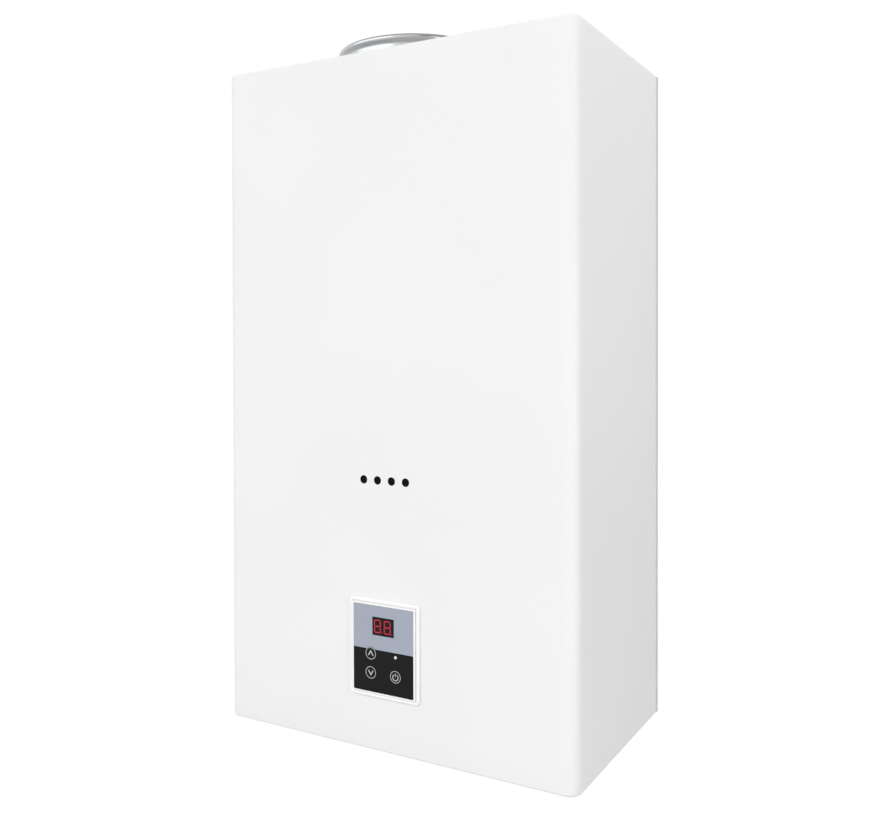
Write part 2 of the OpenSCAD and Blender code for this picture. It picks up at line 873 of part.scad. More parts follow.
// The slit above a burner bar's bore, and the chamber under its ports
module bar_passage() {
    top = bar_top - venturi_z;
    translate([-slit_w / 2, 0]) square([slit_w, top - bar_head_h + venturi_t + 1]);
    translate([venturi_t - bar_head_w / 2, top - bar_head_h + venturi_t])
        square([bar_head_w - 2 * venturi_t, bar_head_h - 2 * venturi_t]);
}

module burner_bars() {
    reach = shell_d / 2 - frame_t;
    port_margin = 8;
    port_depth = venturi_t + 1;
    port_side = venturi_t + 0.5;
    ports = floor((2 * reach - 2 * port_margin) / port_pitch);
    color("silver") in_frame()
        for (i = [0 : bar_count - 1])
            translate([bar_x(i), shell_y, 0]) difference() {
                upright(-reach, reach) translate([0, venturi_z]) bar_section();
                y_cylinder(0, venturi_z, venturi_r - venturi_t, -reach - 1, reach - venturi_t);
                upright(venturi_t - reach, reach - venturi_t)
                    translate([0, venturi_z]) bar_passage();
                for (j = [0 : ports])
                    translate([0, (j - ports / 2) * port_pitch, bar_top])
                        cube([bar_head_w - 2 * port_side, port_w, 2 * port_depth], center = true);
            }
}

module burner_frame() {
    color("silver") in_frame() difference() {
        translate([0, shell_y, frame_z]) linear_extrude(frame_h) difference() {
            rounded_rect(shell_w, shell_d, corner_r);
            rounded_rect(shell_w - 2 * frame_t, shell_d - 2 * frame_t, corner_r - frame_t);
        }
        for (i = [0 : bar_count - 1])
            y_cylinder(bar_x(i), venturi_z, venturi_r - venturi_t,
                       shell_front - 1, shell_front + frame_t + 1);
    }
}

module gas_manifold() {
    half = bar_count * bar_pitch / 2;
    side = manifold_s / 2;
    tab_t = 2;
    color("silver") in_frame() difference() {
        union() {
            block([-half, manifold_y - side, venturi_z - side], [half, manifold_y + side, venturi_z + side]);
            for (x = [-half, half - manifold_s])
                block([x, manifold_back - eps, venturi_z - side],
                      [x + manifold_s, shell_front, venturi_z - side + tab_t]);
        }
        block([manifold_t - half, manifold_y - side + manifold_t, venturi_z - side + manifold_t],
              [half - manifold_t, manifold_y + side - manifold_t, venturi_z + side - manifold_t]);
        for (i = [0 : bar_count - 1])
            y_cylinder(bar_x(i), venturi_z, nozzle_r + joint_gap, manifold_y, manifold_back + 1);
        translate([gas_x, manifold_y, venturi_z - side - 1])
            cylinder(r = pipe_od / 2 - pipe_t, h = side);
    }
}

module injector_nozzles() {
    hex = 4;
    jet_r = 0.8;
    color("goldenrod") in_frame()
        for (i = [0 : bar_count - 1])
            translate([bar_x(i), manifold_back, venturi_z])
                rotate([-90, 0, 0]) difference() {
                    union() {
                        cylinder(r = hex, h = nozzle_l, $fn = 6);
                        translate([0, 0, -manifold_t]) cylinder(r = nozzle_r, h = manifold_t + 1);
                    }
                    translate([0, 0, -manifold_t - 1]) cylinder(r = jet_r, h = manifold_t + nozzle_l + 2);
                }
}

module electrode_ceramics() {
    color("ivory") in_frame()
        for (side = [-1, 1]) difference() {
            y_cylinder(side * electrode_x, electrode_z, ceramic_r,
                       shell_front - ceramic_out, shell_front + shell_t + ceramic_in);
            y_cylinder(side * electrode_x, electrode_z, rod_r + joint_gap,
                       shell_front - ceramic_out - 1, shell_front + shell_t + ceramic_in + 1);
        }
}

module electrode_rods() {
    color("dimgray") in_frame()
        for (side = [-1, 1])
            y_cylinder(side * electrode_x, electrode_z, rod_r,
                       shell_front - ceramic_out, shell_front + rod_in);
}

module electrode_plates() {
    plate_w = 24;
    plate_h = 13;
    plate_t = 1;
    color("silver") in_frame()
        for (side = [-1, 1]) difference() {
            upright(shell_front - plate_t, shell_front)
                translate([side * electrode_x, electrode_z]) rounded_rect(plate_w, plate_h, 3);
            y_cylinder(side * electrode_x, electrode_z, ceramic_r + joint_gap,
                       shell_front - plate_t - 1, shell_front + 1);
        }
}

module electrode_leads() {
    color("firebrick") in_frame() {
        pipe_run(spark_route, lead_bend, 2 * lead_r, 0);
        pipe_run(flame_route, lead_bend, 2 * lead_r, 0);
    }
}

// Gas valve
module solenoid_places() {
    for (side = [-1, 1])
        translate([side * solenoid_pitch / 2, pipe_y, 0]) children();
}

module gas_valve_body() {
    middle_y = valve_front + valve_d / 2;
    corner = 8;
    rim_t = 4;
    rim_out = 4;
    outlet_wall = 3;
    cap_r = 12;
    cap_l = 6;
    cap_up = 16;
    inlet_depth = 20;
    color("lightsteelblue") in_frame() difference() {
        union() {
            translate([0, middle_y, valve_base])
                linear_extrude(valve_h) rounded_rect(valve_w, valve_d, corner);
            translate([0, middle_y, valve_base + valve_h / 2])
                linear_extrude(rim_t) rounded_rect(valve_w + 2 * rim_out, valve_d + 2 * rim_out, corner);
            x_cylinder(outlet_y, outlet_z, pipe_od / 2 + outlet_wall, 0, valve_w / 2 + outlet_l);
            y_cylinder(0, valve_base + cap_up, cap_r, valve_front - cap_l, valve_front + 1);
        }
        translate([0, pipe_y, valve_base - 1]) cylinder(r = nipple_bore, h = inlet_depth);
        x_cylinder(outlet_y, outlet_z, pipe_od / 2 - pipe_t, valve_w / 4, valve_w);
        solenoid_places()
            translate([0, 0, valve_top - plunger_drop])
                cylinder(r = plunger_r + run_gap, h = plunger_drop + 1);
    }
}

module solenoid_coils() {
    flange_t = 2;
    flange_out = 1.5;
    color("orangered") in_frame() solenoid_places()
        translate([0, 0, solenoid_base]) difference() {
            union() {
                cylinder(r = solenoid_r, h = flange_t);
                cylinder(r = solenoid_r - flange_out, h = solenoid_h);
                translate([0, 0, solenoid_h - flange_t]) cylinder(r = solenoid_r, h = flange_t);
            }
            translate([0, 0, -1]) cylinder(r = plunger_r + run_gap, h = solenoid_h + 2);
        }
}

module solenoid_yokes() {
    half = solenoid_r + 1;
    color("silver") in_frame() solenoid_places() difference() {
        union() {
            block([-half, -half, valve_top], [half, half + yoke_t, solenoid_base]);
            block([-half, half, valve_top], [half, half + yoke_t, solenoid_base + solenoid_h + yoke_t]);
            block([-half, -half, solenoid_base + solenoid_h],
                  [half, half + yoke_t, solenoid_base + solenoid_h + yoke_t]);
        }
        translate([0, 0, valve_top - 1]) cylinder(r = plunger_r + run_gap, h = yoke_t + 2);
    }
}

module plunger(side) {
    color("gray") in_frame()
        translate([side * solenoid_pitch / 2, pipe_y, valve_top - plunger_drop])
            cylinder(r = plunger_r, h = plunger_h);
}

module safety_plunger() {
    plunger(-1);
}

module main_plunger() {
    plunger(1);
}

module gas_pipe() {
    color("silver") in_frame() pipe_run(gas_route, gas_bend, pipe_od, pipe_t);
}

// Connections
module nipple(top) {
    hex_h = nipple_drop - thread_l - seal_h + floor_z;
    difference() {
        union() {
            translate([0, 0, -nipple_drop]) cylinder(r = thread_r, h = thread_l);
            translate([0, 0, thread_l - nipple_drop - eps]) cylinder(r = hex_r, h = hex_h + 2 * eps, $fn = 6);
            translate([0, 0, floor_z - seal_h]) cylinder(r = seal_r, h = seal_h);
            translate([0, 0, floor_z - eps]) cylinder(r = thread_r - 0.5, h = top - floor_z + eps);
        }
        translate([0, 0, -nipple_drop - 1]) cylinder(r = nipple_bore, h = top + nipple_drop + 2);
    }
}

module gas_inlet_nipple() {
    color("gold") in_frame() translate([0, pipe_y, 0]) nipple(valve_base);
}

module cold_inlet_nipple() {
    branch_r = 5.5;
    color("gold") in_frame() difference() {
        union() {
            translate([pipe_x, pipe_y, 0]) nipple(nipple_top);
            x_cylinder(pipe_y, drain_z, branch_r, pipe_x + nipple_bore + 1, drain_x);
            translate([drain_x, pipe_y, drain_z - boss_r]) cylinder(r = boss_r, h = 2 * boss_r);
        }
        x_cylinder(pipe_y, drain_z, branch_r - 2, pipe_x, drain_x);
        translate([drain_x, pipe_y, drain_z - boss_r - 1]) cylinder(r = boss_bore, h = 2 * boss_r - 2);
    }
}

module drain_plug() {
    head_h = 10;
    head_z = -4;
    key_wide = 3;
    key_deep = 6;
    color("gold") in_frame() translate([drain_x, pipe_y, 0]) difference() {
        union() {
            translate([0, 0, head_z - head_h]) cylinder(r = boss_r, h = head_h);
            translate([0, 0, head_z - 1])
                cylinder(r = boss_bore - joint_gap, h = drain_z - boss_r / 2 - head_z + 1);
        }
        translate([0, 0, head_z - head_h - 1]) cylinder(r = key_wide, h = key_deep + 1, $fn = 6);
    }
}

module inlet_filter() {
    cup_h = 24;
    cup_r = nipple_bore - 1.3;
    cup_t = 0.8;
    rim_h = 2;
    slots = 6;
    slot = [nipple_bore, 1.8, 6];
    color("lightgray") in_frame() translate([pipe_x, pipe_y, -nipple_drop]) difference() {
        union() {
            cylinder(r = nipple_bore - joint_gap, h = rim_h);
            cylinder(r = cup_r, h = cup_h);
        }
        translate([0, 0, -1]) cylinder(r = cup_r - cup_t, h = cup_h);
        for (a = [0 : slots - 1], z = [2 * rim_h, cup_h / 2])
            rotate([0, 0, a * 360 / slots])
                translate([0, -slot[1] / 2, z]) cube(slot);
    }
}

module flow_sensor_body() {
    bar = 2;
    color("dimgray") in_frame() translate([pipe_x, pipe_y, nipple_top]) {
        difference() {
            union() {
                cylinder(r = sensor_r, h = sensor_h);
                block([-pickup_w / 2, 0, sensor_h / 2 - pickup_w / 2 - bar],
                      [pickup_w / 2, sensor_r + pickup_out, sensor_h / 2 + pickup_w / 2]);
            }
            translate([0, 0, -1]) cylinder(r = nipple_bore, h = sensor_h + 2);
            translate([0, 0, sensor_end]) cylinder(r = sensor_bore, h = sensor_h - 2 * sensor_end);
        }
        for (z = [sensor_end, sensor_h - sensor_end - bar]) difference() {
            union() {
                translate([0, 0, z + bar / 2]) cube([2 * sensor_bore + 1, bar, bar], center = true);
                translate([0, 0, z + bar / 2]) cube([bar, 2 * sensor_bore + 1, bar], center = true);
                translate([0, 0, z]) cylinder(r = hub_r, h = bar);
            }
            translate([0, 0, z - 1]) cylinder(r = pivot_r + run_gap, h = bar + 2);
        }
    }
}

module flow_rotor() {
    bar = 2;
    low = sensor_end + bar + fit_gap;
    high = sensor_h - low;
    vane_t = 1.2;
    vane_tilt = 20;
    vane_margin = 3;
    color("white") in_frame() translate([pipe_x, pipe_y, nipple_top]) {
        translate([0, 0, low]) cylinder(r = hub_r, h = high - low);
        translate([0, 0, low - bar]) cylinder(r = pivot_r, h = high - low + 2 * bar);
        intersection() {
            translate([0, 0, low + vane_margin])
                cylinder(r = sensor_bore - 0.5, h = high - low - 2 * vane_margin);
            for (i = [0 : vane_count - 1])
                rotate([0, 0, i * 360 / vane_count])
                    translate([sensor_bore / 2, 0, sensor_h / 2])
                        rotate([vane_tilt, 0, 0]) cube([sensor_bore, vane_t, sensor_h], center = true);
        }
    }
}

module hot_outlet_nipple() {
    branch_r = 6;
    color("gold") in_frame() difference() {
        union() {
            translate([-pipe_x, pipe_y, 0]) nipple(nipple_top);
            y_cylinder(-pipe_x, drain_z, branch_r, probe_y, pipe_y - nipple_bore - 1);
        }
        y_cylinder(-pipe_x, drain_z, probe_r, probe_y - 1, pipe_y);
    }
}

module outlet_thermistor() {
    hex = 5.5;
    hex_h = 5;
    plug_r = 3;
    plug_l = 7;
    color("goldenrod") in_frame() {
        translate([-pipe_x, probe_y, drain_z])
            rotate([90, 0, 0]) cylinder(r = hex, h = hex_h, $fn = 6);
        y_cylinder(-pipe_x, drain_z, plug_r, probe_y - hex_h - plug_l, probe_y - hex_h + eps);
        y_cylinder(-pipe_x, drain_z, probe_r - joint_gap, probe_y - eps, pipe_y - nipple_bore);
    }
}

// Electrics
module control_box() {
    rib_count = 5;
    rib_h = 3;
    rib_in = 1.5;
    plug_count = 4;
    plug = [7, 9, 8];
    plug_step = 9;
    color("dimgray") in_frame() difference() {
        union() {
            translate([ctrl_x, ctrl_y, floor_top]) linear_extrude(ctrl_h) rounded_rect(ctrl_w, ctrl_d, lid_r);
            for (i = [0 : plug_count - 1])
                translate([ctrl_x - 2 + i * plug_step, ctrl_y, ctrl_top - eps])
                    linear_extrude(plug[2]) square([plug[0], plug[1]], center = true);
        }
        upright(lid_y - 1, lid_y + lid_t)
            translate([ctrl_x, floor_top + ctrl_h / 2])
                rounded_rect(ctrl_w - 2 * lid_rim, ctrl_h - 2 * lid_rim, lid_r);
        for (i = [0 : rib_count - 1])
            translate([ctrl_x, ctrl_y, floor_top + (i + 1) * ctrl_h / (rib_count + 1)])
                difference() {
                    cube([ctrl_w + 1, ctrl_d * 2 / 3, rib_h], center = true);
                    cube([ctrl_w - 2 * rib_in, ctrl_d, rib_h + 1], center = true);
                }
    }
}

module control_lid() {
    bar_h = 3;
    bar_step = 12;
    lid_w = ctrl_w - 2 * lid_rim - 2 * joint_gap;
    lid_h = ctrl_h - 2 * lid_rim - 2 * joint_gap;
    color("gray") in_frame() translate([ctrl_x, 0, floor_top + ctrl_h / 2]) {
        upright(lid_y, lid_y + lid_t) rounded_rect(lid_w, lid_h, lid_r);
        for (i = [-2 : 2])
            upright(lid_y - 1, lid_y + eps)
                translate([0, i * bar_step]) square([lid_w - 4 * lid_rim, bar_h], center = true);
    }
}

module ignition_unit() {
    color("darkslategray") in_frame() translate([unit_x, unit_y, unit_base]) {
        linear_extrude(unit_h) rounded_rect(unit_w, unit_d, lid_r);
        translate([0, 0, unit_h - eps]) cylinder(r = post_r, h = post_h + eps);
    }
}

// Battery
module battery_box() {
    rear = box_d / 2 + box_lip;
    color("whitesmoke") in_frame() translate([battery_x, battery_y, 0]) difference() {
        union() {
            block([-box_w / 2, -box_d / 2, mouth_z], [box_w / 2, box_d / 2, box_roof + box_t]);
            block([-box_w / 2 - box_lip, -rear, floor_z - box_lip_t],
                  [box_w / 2 + box_lip, rear, floor_z]);
            for (side = [-1, 1])
                translate([side * (box_w / 2 + lug_w / 2), 0, 0])
                    block([-lug_w / 2, hinge_y - battery_y - lug_r, hinge_z - lug_r + 0.5],
                          [lug_w / 2, rear, floor_z - eps]);
        }
        block([box_t - box_w / 2, box_t - box_d / 2, mouth_z - 1],
              [box_w / 2 - box_t, box_d / 2 - box_t, box_roof]);
        block([-door_w / 2 - door_gap, box_d / 2 - box_t - 1, mouth_z - 1],
              [door_w / 2 + door_gap, box_d / 2 + 1, floor_z - box_lip_t]);
        x_cylinder(hinge_y - battery_y, hinge_z, hinge_pin_r + pin_fit, -box_w, box_w);
    }
}

module battery_places() {
    for (side = [-1, 1])
        translate([battery_x + side * cell_pitch / 2, battery_y, 0]) children();
}

module battery_cells() {
    nub_r = 4.8;
    nub_h = 1.5;
    color("seagreen") in_frame() battery_places() {
        translate([0, 0, cell_z]) cylinder(r = cell_r, h = cell_h - nub_h);
        translate([0, 0, cell_z + cell_h - nub_h - eps]) cylinder(r = nub_r, h = nub_h + eps);
    }
}

module battery_contacts() {
    color("gold") in_frame() battery_places()
        translate([-cell_r / 2, -cell_r / 2, cell_z + cell_h]) cube([cell_r, cell_r, contact_t]);
}

module battery_hinge_pin() {
    reach = box_w / 2 + lug_w;
    color("silver") in_frame() translate([battery_x, 0, 0])
        x_cylinder(hinge_y, hinge_z, hinge_pin_r, -reach, reach);
}

module battery_door() {
    front = battery_y - box_d / 2 + box_t + door_gap;
    grip = [15, 5];
    grip_back = 8;
    color("whitesmoke") in_frame() translate([battery_x, 0, 0]) difference() {
        union() {
            block([-door_w / 2, front, mouth_z], [door_w / 2, hinge_y, mouth_z + door_t]);
            x_cylinder(hinge_y, hinge_z, knuckle_r, -door_w / 2, door_w / 2);
        }
        x_cylinder(hinge_y, hinge_z, hinge_pin_r + run_gap, -box_w, box_w);
        translate([0, front + grip_back, mouth_z - 1])
            linear_extrude(1 + door_t / 2) rounded_rect(grip[0], grip[1], 2);
    }
}

module battery_bridge() {
    color("gold") in_frame() translate([battery_x, battery_y, mouth_z + door_t])
        linear_extrude(bridge_t) rounded_rect(cell_pitch + cell_r, cell_r / 2, 3);
}

// Control panel
module panel_bezel() {
    inner_w = overlay_w + 2 * joint_gap;
    inner_h = overlay_h + 2 * joint_gap;
    color("white") in_frame() translate([0, 0, panel_z]) difference() {
        union() {
            upright(front_y - tier_h, front_y) rounded_rect(panel_w, panel_h, window_r + 1);
            upright(bezel_y, front_y - tier_h + eps)
                rounded_rect(panel_w - 2 * tier_w, panel_h - 2 * tier_w, window_r);
            upright(front_y - eps, skirt_back) rounded_rect(skirt_w, skirt_h, window_r - fit_gap);
        }
        upright(bezel_y - 1, overlay_back) rounded_rect(inner_w, inner_h, overlay_r + joint_gap);
        upright(overlay_back - eps, overlay_back + ledge_t)
            rounded_rect(overlay_w - 2 * ledge_w, overlay_h - 2 * ledge_w, overlay_r);
        upright(overlay_back + ledge_t - eps, skirt_back + 1)
            rounded_rect(skirt_w - 2 * skirt_t, skirt_h - 2 * skirt_t, window_r - fit_gap - skirt_t);
    }
}

module panel_overlay() {
    color("slategray") in_frame() difference() {
        upright(overlay_y, overlay_back)
            translate([0, panel_z]) rounded_rect(overlay_w, overlay_h, overlay_r);
        for (p = key_places)
            y_cylinder(p[0], p[1], key_r + key_gap, overlay_y - 1, overlay_back + 1);
        y_cylinder(key_x, led_z, led_r + key_gap, overlay_y - 1, overlay_back + 1);
        upright(overlay_y - 1, overlay_back + 1)
            translate([0, display_z]) square([display_w, display_h], center = true);
    }
}

module display_module() {
    color("black") in_frame()
        upright(overlay_y + joint_gap, board_y)
            translate([0, display_z])
                square([display_w - 2 * joint_gap, display_h - 2 * joint_gap], center = true);
}

// One bar of a digit, with pointed ends
module segment(length) {
    half = segment_w / 2;
    reach = length / 2 - segment_gap;
    polygon([
        [-reach, 0], [half - reach, half], [reach - half, half],
        [reach, 0], [reach - half, -half], [half - reach, -half]
    ]);
}

module digit() {
    for (z = [-1, 0, 1])
        translate([0, z * digit_h / 2]) segment(digit_w);
    for (x = [-1, 1], z = [-1, 1])
        translate([x * digit_w / 2, z * digit_h / 4]) rotate(90) segment(digit_h / 2);
}

module display_segments() {
    face = overlay_y + joint_gap;
    color("red") in_frame()
        upright(face - segment_t, face)
            translate([0, display_z])
                for (side = [-1, 1])
                    translate([side * digit_pitch / 2 - digit_left, 0]) {
                        digit();
                        translate([digit_w / 2 + 2.5 * dot_r, -digit_h / 2]) circle(dot_r);
                    }
}

// Key cap with a lip behind the overlay and a stem to its switch
module key_cap(place) {
    lip_y = overlay_back + fit_gap;
    color("black") in_frame() translate([place[0], 0, place[1]]) {
        y_cylinder(0, 0, key_r, overlay_y - key_proud, lip_y + key_lip_t);
        y_cylinder(0, 0, key_r + key_lip, lip_y, lip_y + key_lip_t);
        y_cylinder(0, 0, key_stem_r, lip_y, key_end);
    }
}

module key_up() {
    key_cap(key_places[0]);
}

module key_down() {
    key_cap(key_places[1]);
}

module key_power() {
    key_cap(key_places[2]);
}

module status_led() {
    color("white") in_frame() {
        y_cylinder(key_x, led_z, led_r, overlay_y - joint_gap, board_y);
        y_cylinder(key_x, led_z, led_r + led_foot, board_y - 1, board_y);
    }
}

module panel_board() {
    color("darkgreen") in_frame()
        upright(board_y, board_y + board_t)
            translate([0, panel_z]) rounded_rect(skirt_w, skirt_h, window_r - 1);
}

module tact_switches() {
    color("gray") in_frame()
        for (p = key_places)
            translate([p[0], 0, p[1]]) {
                upright(board_y - switch_h, board_y) square(switch_w, center = true);
                y_cylinder(0, 0, switch_tip_r, switch_tip, board_y - switch_h + eps);
            }
}

module panel_tray() {
    inner_w = window_w + 2 * tray_gap;
    inner_h = window_h + 2 * tray_gap;
    post_in = 7;
    cable_slot = [18, 8];
    color("whitesmoke") in_frame() translate([0, 0, panel_z]) {
        difference() {
            upright(inside_y, tray_back)
                rounded_rect(inner_w + 2 * tray_t, inner_h + 2 * tray_t, window_r + 1);
            upright(inside_y - 1, tray_back - tray_t) rounded_rect(inner_w, inner_h, window_r - 0.5);
            upright(tray_back - tray_t - 1, tray_back + 1) rounded_rect(cable_slot[0], cable_slot[1], 2);
        }
        for (sx = [-1, 1], sz = [-1, 1])
            y_cylinder(sx * (inner_w / 2 - post_in), sz * (inner_h / 2 - post_in), window_r,
                       board_y + board_t, tray_back - tray_t + eps);
    }
}

module sight_glass() {
    color("lightcyan", 0.4) in_frame()
        upright(inside_y, inside_y + glass_t)
            translate([0, sight_z]) rounded_rect(glass_w, glass_h, glass_r);
}

module sight_glass_holder() {
    rim = 4;
    cap_t = 1;
    color("silver") in_frame() translate([0, 0, sight_z]) difference() {
        upright(inside_y, inside_y + glass_t + cap_t)
            rounded_rect(glass_w + 2 * rim, glass_h + 2 * rim, rim);
        upright(inside_y - 1, inside_y + glass_t)
            rounded_rect(glass_w + 2 * joint_gap, glass_h + 2 * joint_gap, glass_r + joint_gap);
        upright(inside_y, inside_y + glass_t + cap_t + 1)
            rounded_rect(glass_w - rim, glass_h - rim, glass_r);
    }
}

// Least gap between stretches of the jacket coil that don't meet, measured on points along its middle
samples = 10;
function elbow_points(pts, i, r) =
    let (before = unit(pts[i] - pts[i - 1]), after = unit(pts[i + 1] - pts[i]))
        [for (k = [0 : samples])
            let (a = 90 * k / samples)
                pts[i] + r * (after - before + before * sin(a) - after * cos(a))];
function stretch_points(pts, i, bend) =
    let (d = unit(pts[i + 1] - pts[i]), start = corner_bend(pts, i, bend))
    let (stop = run_length(pts, i) - corner_bend(pts, i + 1, bend))
        concat(
            [for (k = [0 : samples]) pts[i] + d * (start + (stop - start) * k / samples)],
            i == len(pts) - 2 ? [] : elbow_points(pts, i + 1, corner_bend(pts, i + 1, bend))
        );
coil_stretches = [for (i = [0 : len(coil_route) - 2]) stretch_points(coil_route, i, pipe_bend)];
coil_least_gap = min([
    for (i = [0 : len(coil_stretches) - 3], j = [i + 2 : len(coil_stretches) - 1])
        for (a = coil_stretches[i], b = coil_stretches[j]) norm(a - b)
]) - pipe_od;
echo(coil_least_gap = coil_least_gap);

back_plate();
front_cover();
top_panel();
bottom_panel();
cover_screws();
flue_collar();
collar_screws();
flue_hood();
flue_spigot();
exchanger_shell();
exchanger_fins();
fin_tubes();
jacket_coil();
hot_pipe();
exchanger_brackets();
overheat_thermostat();
burner_bars();
burner_frame();
gas_manifold();
injector_nozzles();
electrode_ceramics();
electrode_rods();
electrode_plates();
electrode_leads();
gas_valve_body();
solenoid_coils();
solenoid_yokes();
safety_plunger();
main_plunger();
gas_pipe();
gas_inlet_nipple();
cold_inlet_nipple();
inlet_filter();
flow_sensor_body();
flow_rotor();
hot_outlet_nipple();
drain_plug();
outlet_thermistor();
control_box();
control_lid();
ignition_unit();
battery_box();
battery_cells();
battery_contacts();
battery_hinge_pin();
battery_door();
battery_bridge();
panel_bezel();
panel_overlay();
display_module();
display_segments();
key_up();
key_down();
key_power();
status_led();
panel_board();
tact_switches();
panel_tray();
sight_glass();
sight_glass_holder();
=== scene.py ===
"""Looks of a wall-hung gas water heater: bent sheet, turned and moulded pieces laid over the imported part.

Shapes are worked out in millimetres above the case's bottom edge, with the wall at y = 0, and are
put into the frame's metres by make_piece.
"""

import json
import math

import bpy
import numpy as np
from mathutils import Matrix, Vector


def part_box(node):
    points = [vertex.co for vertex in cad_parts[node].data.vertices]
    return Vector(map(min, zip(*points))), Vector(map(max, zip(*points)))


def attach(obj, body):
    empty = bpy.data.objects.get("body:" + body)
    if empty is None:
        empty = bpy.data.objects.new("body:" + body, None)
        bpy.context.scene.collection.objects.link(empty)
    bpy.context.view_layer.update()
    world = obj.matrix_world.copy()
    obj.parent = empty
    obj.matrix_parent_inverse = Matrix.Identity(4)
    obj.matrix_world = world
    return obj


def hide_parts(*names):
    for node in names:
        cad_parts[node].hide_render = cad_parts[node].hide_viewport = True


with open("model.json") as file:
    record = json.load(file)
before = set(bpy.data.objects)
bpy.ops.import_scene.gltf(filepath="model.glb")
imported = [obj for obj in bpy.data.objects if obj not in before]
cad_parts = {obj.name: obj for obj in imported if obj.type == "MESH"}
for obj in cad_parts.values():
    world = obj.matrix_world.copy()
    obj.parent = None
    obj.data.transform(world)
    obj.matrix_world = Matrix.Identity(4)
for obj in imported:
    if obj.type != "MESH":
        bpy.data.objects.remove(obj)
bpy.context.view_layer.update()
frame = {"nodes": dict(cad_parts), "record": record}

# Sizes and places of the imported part, in millimetres

HANG_HEIGHT = 550.0
CASE_HALF_W = 171.0
CASE_D = 204.0
CASE_H = 590.0
CASE_BEND = 11.0
COVER_REAR = 1.6
COVER_SCREW_X = 165.0
COVER_SCREW_Y = -14.0
FOLD = 2.0
LIP_W = 12.0
SIGHT_X = (-20.7, -6.9, 6.9, 20.7)
SIGHT_Z = 228.5
SIGHT_R = 3.5
PANEL_Z = 87.0
PANEL_HALF_W = 34.5
PANEL_HALF_H = 41.5
PANEL_R = 4.0
WINDOW_HALF_W = 31.0
WINDOW_HALF_H = 38.25
WINDOW_R = 3.0
KEY_X = 12.2
KEY_HIGH_Z = 82.8
KEY_LOW_Z = 66.6
KEY_FACE = -206.8
FLUE_X = -25.0
FLUE_Y = -112.0
FLUE_R = 65.5
FIXING_R = 71.9
BEAD_R = 1.9
ROOF = 588.7
RIM = 609.5
SHELL_Y = -100.0
SHELL_HALF_W = 118.0
SHELL_HALF_D = 75.0
SHELL_CORNER = 14.7
SHELL_TOP = 412.0
HOOD_RISE = 153.4
HOOD_WALL = 1.2
SPIGOT_R = 69.7
PIPE_X = 100.0
PIPE_Y = -70.0
BRANCH_Z = 20.0
DRAIN_X = 125.98
NIPPLE_BORE = 7.5
THREAD_R = 10.48
THREAD_PITCH = 1.814
HEX_R = 14.0
HEX_LOW = -8.0
HEX_HIGH = -1.7
KNURL_RIDGES = 36.0


# Shader values


class Value:
    """One shader number or colour socket. Arithmetic on a number adds Math nodes to its finish."""

    def __init__(self, finish, socket):
        self.finish = finish
        self.socket = socket

    def join(self, operation, first, second):
        return self.finish.node("ShaderNodeMath", {"operation": operation}, {0: first, 1: second})

    def __add__(self, other):
        return self.join("ADD", self, other)

    def __radd__(self, other):
        return self.join("ADD", other, self)

    def __sub__(self, other):
        return self.join("SUBTRACT", self, other)

    def __rsub__(self, other):
        return self.join("SUBTRACT", other, self)

    def __mul__(self, other):
        return self.join("MULTIPLY", self, other)

    def __rmul__(self, other):
        return self.join("MULTIPLY", other, self)

    def greatest(self, other):
        return self.join("MAXIMUM", self, other)

    def step(self, start, end):
        """0 below start, 1 above end, and an S-shaped rise between them."""
        return self.finish.node(
            "ShaderNodeMapRange",
            {"interpolation_type": "SMOOTHSTEP"},
            {"Value": self, "From Min": start, "From Max": end},
        )


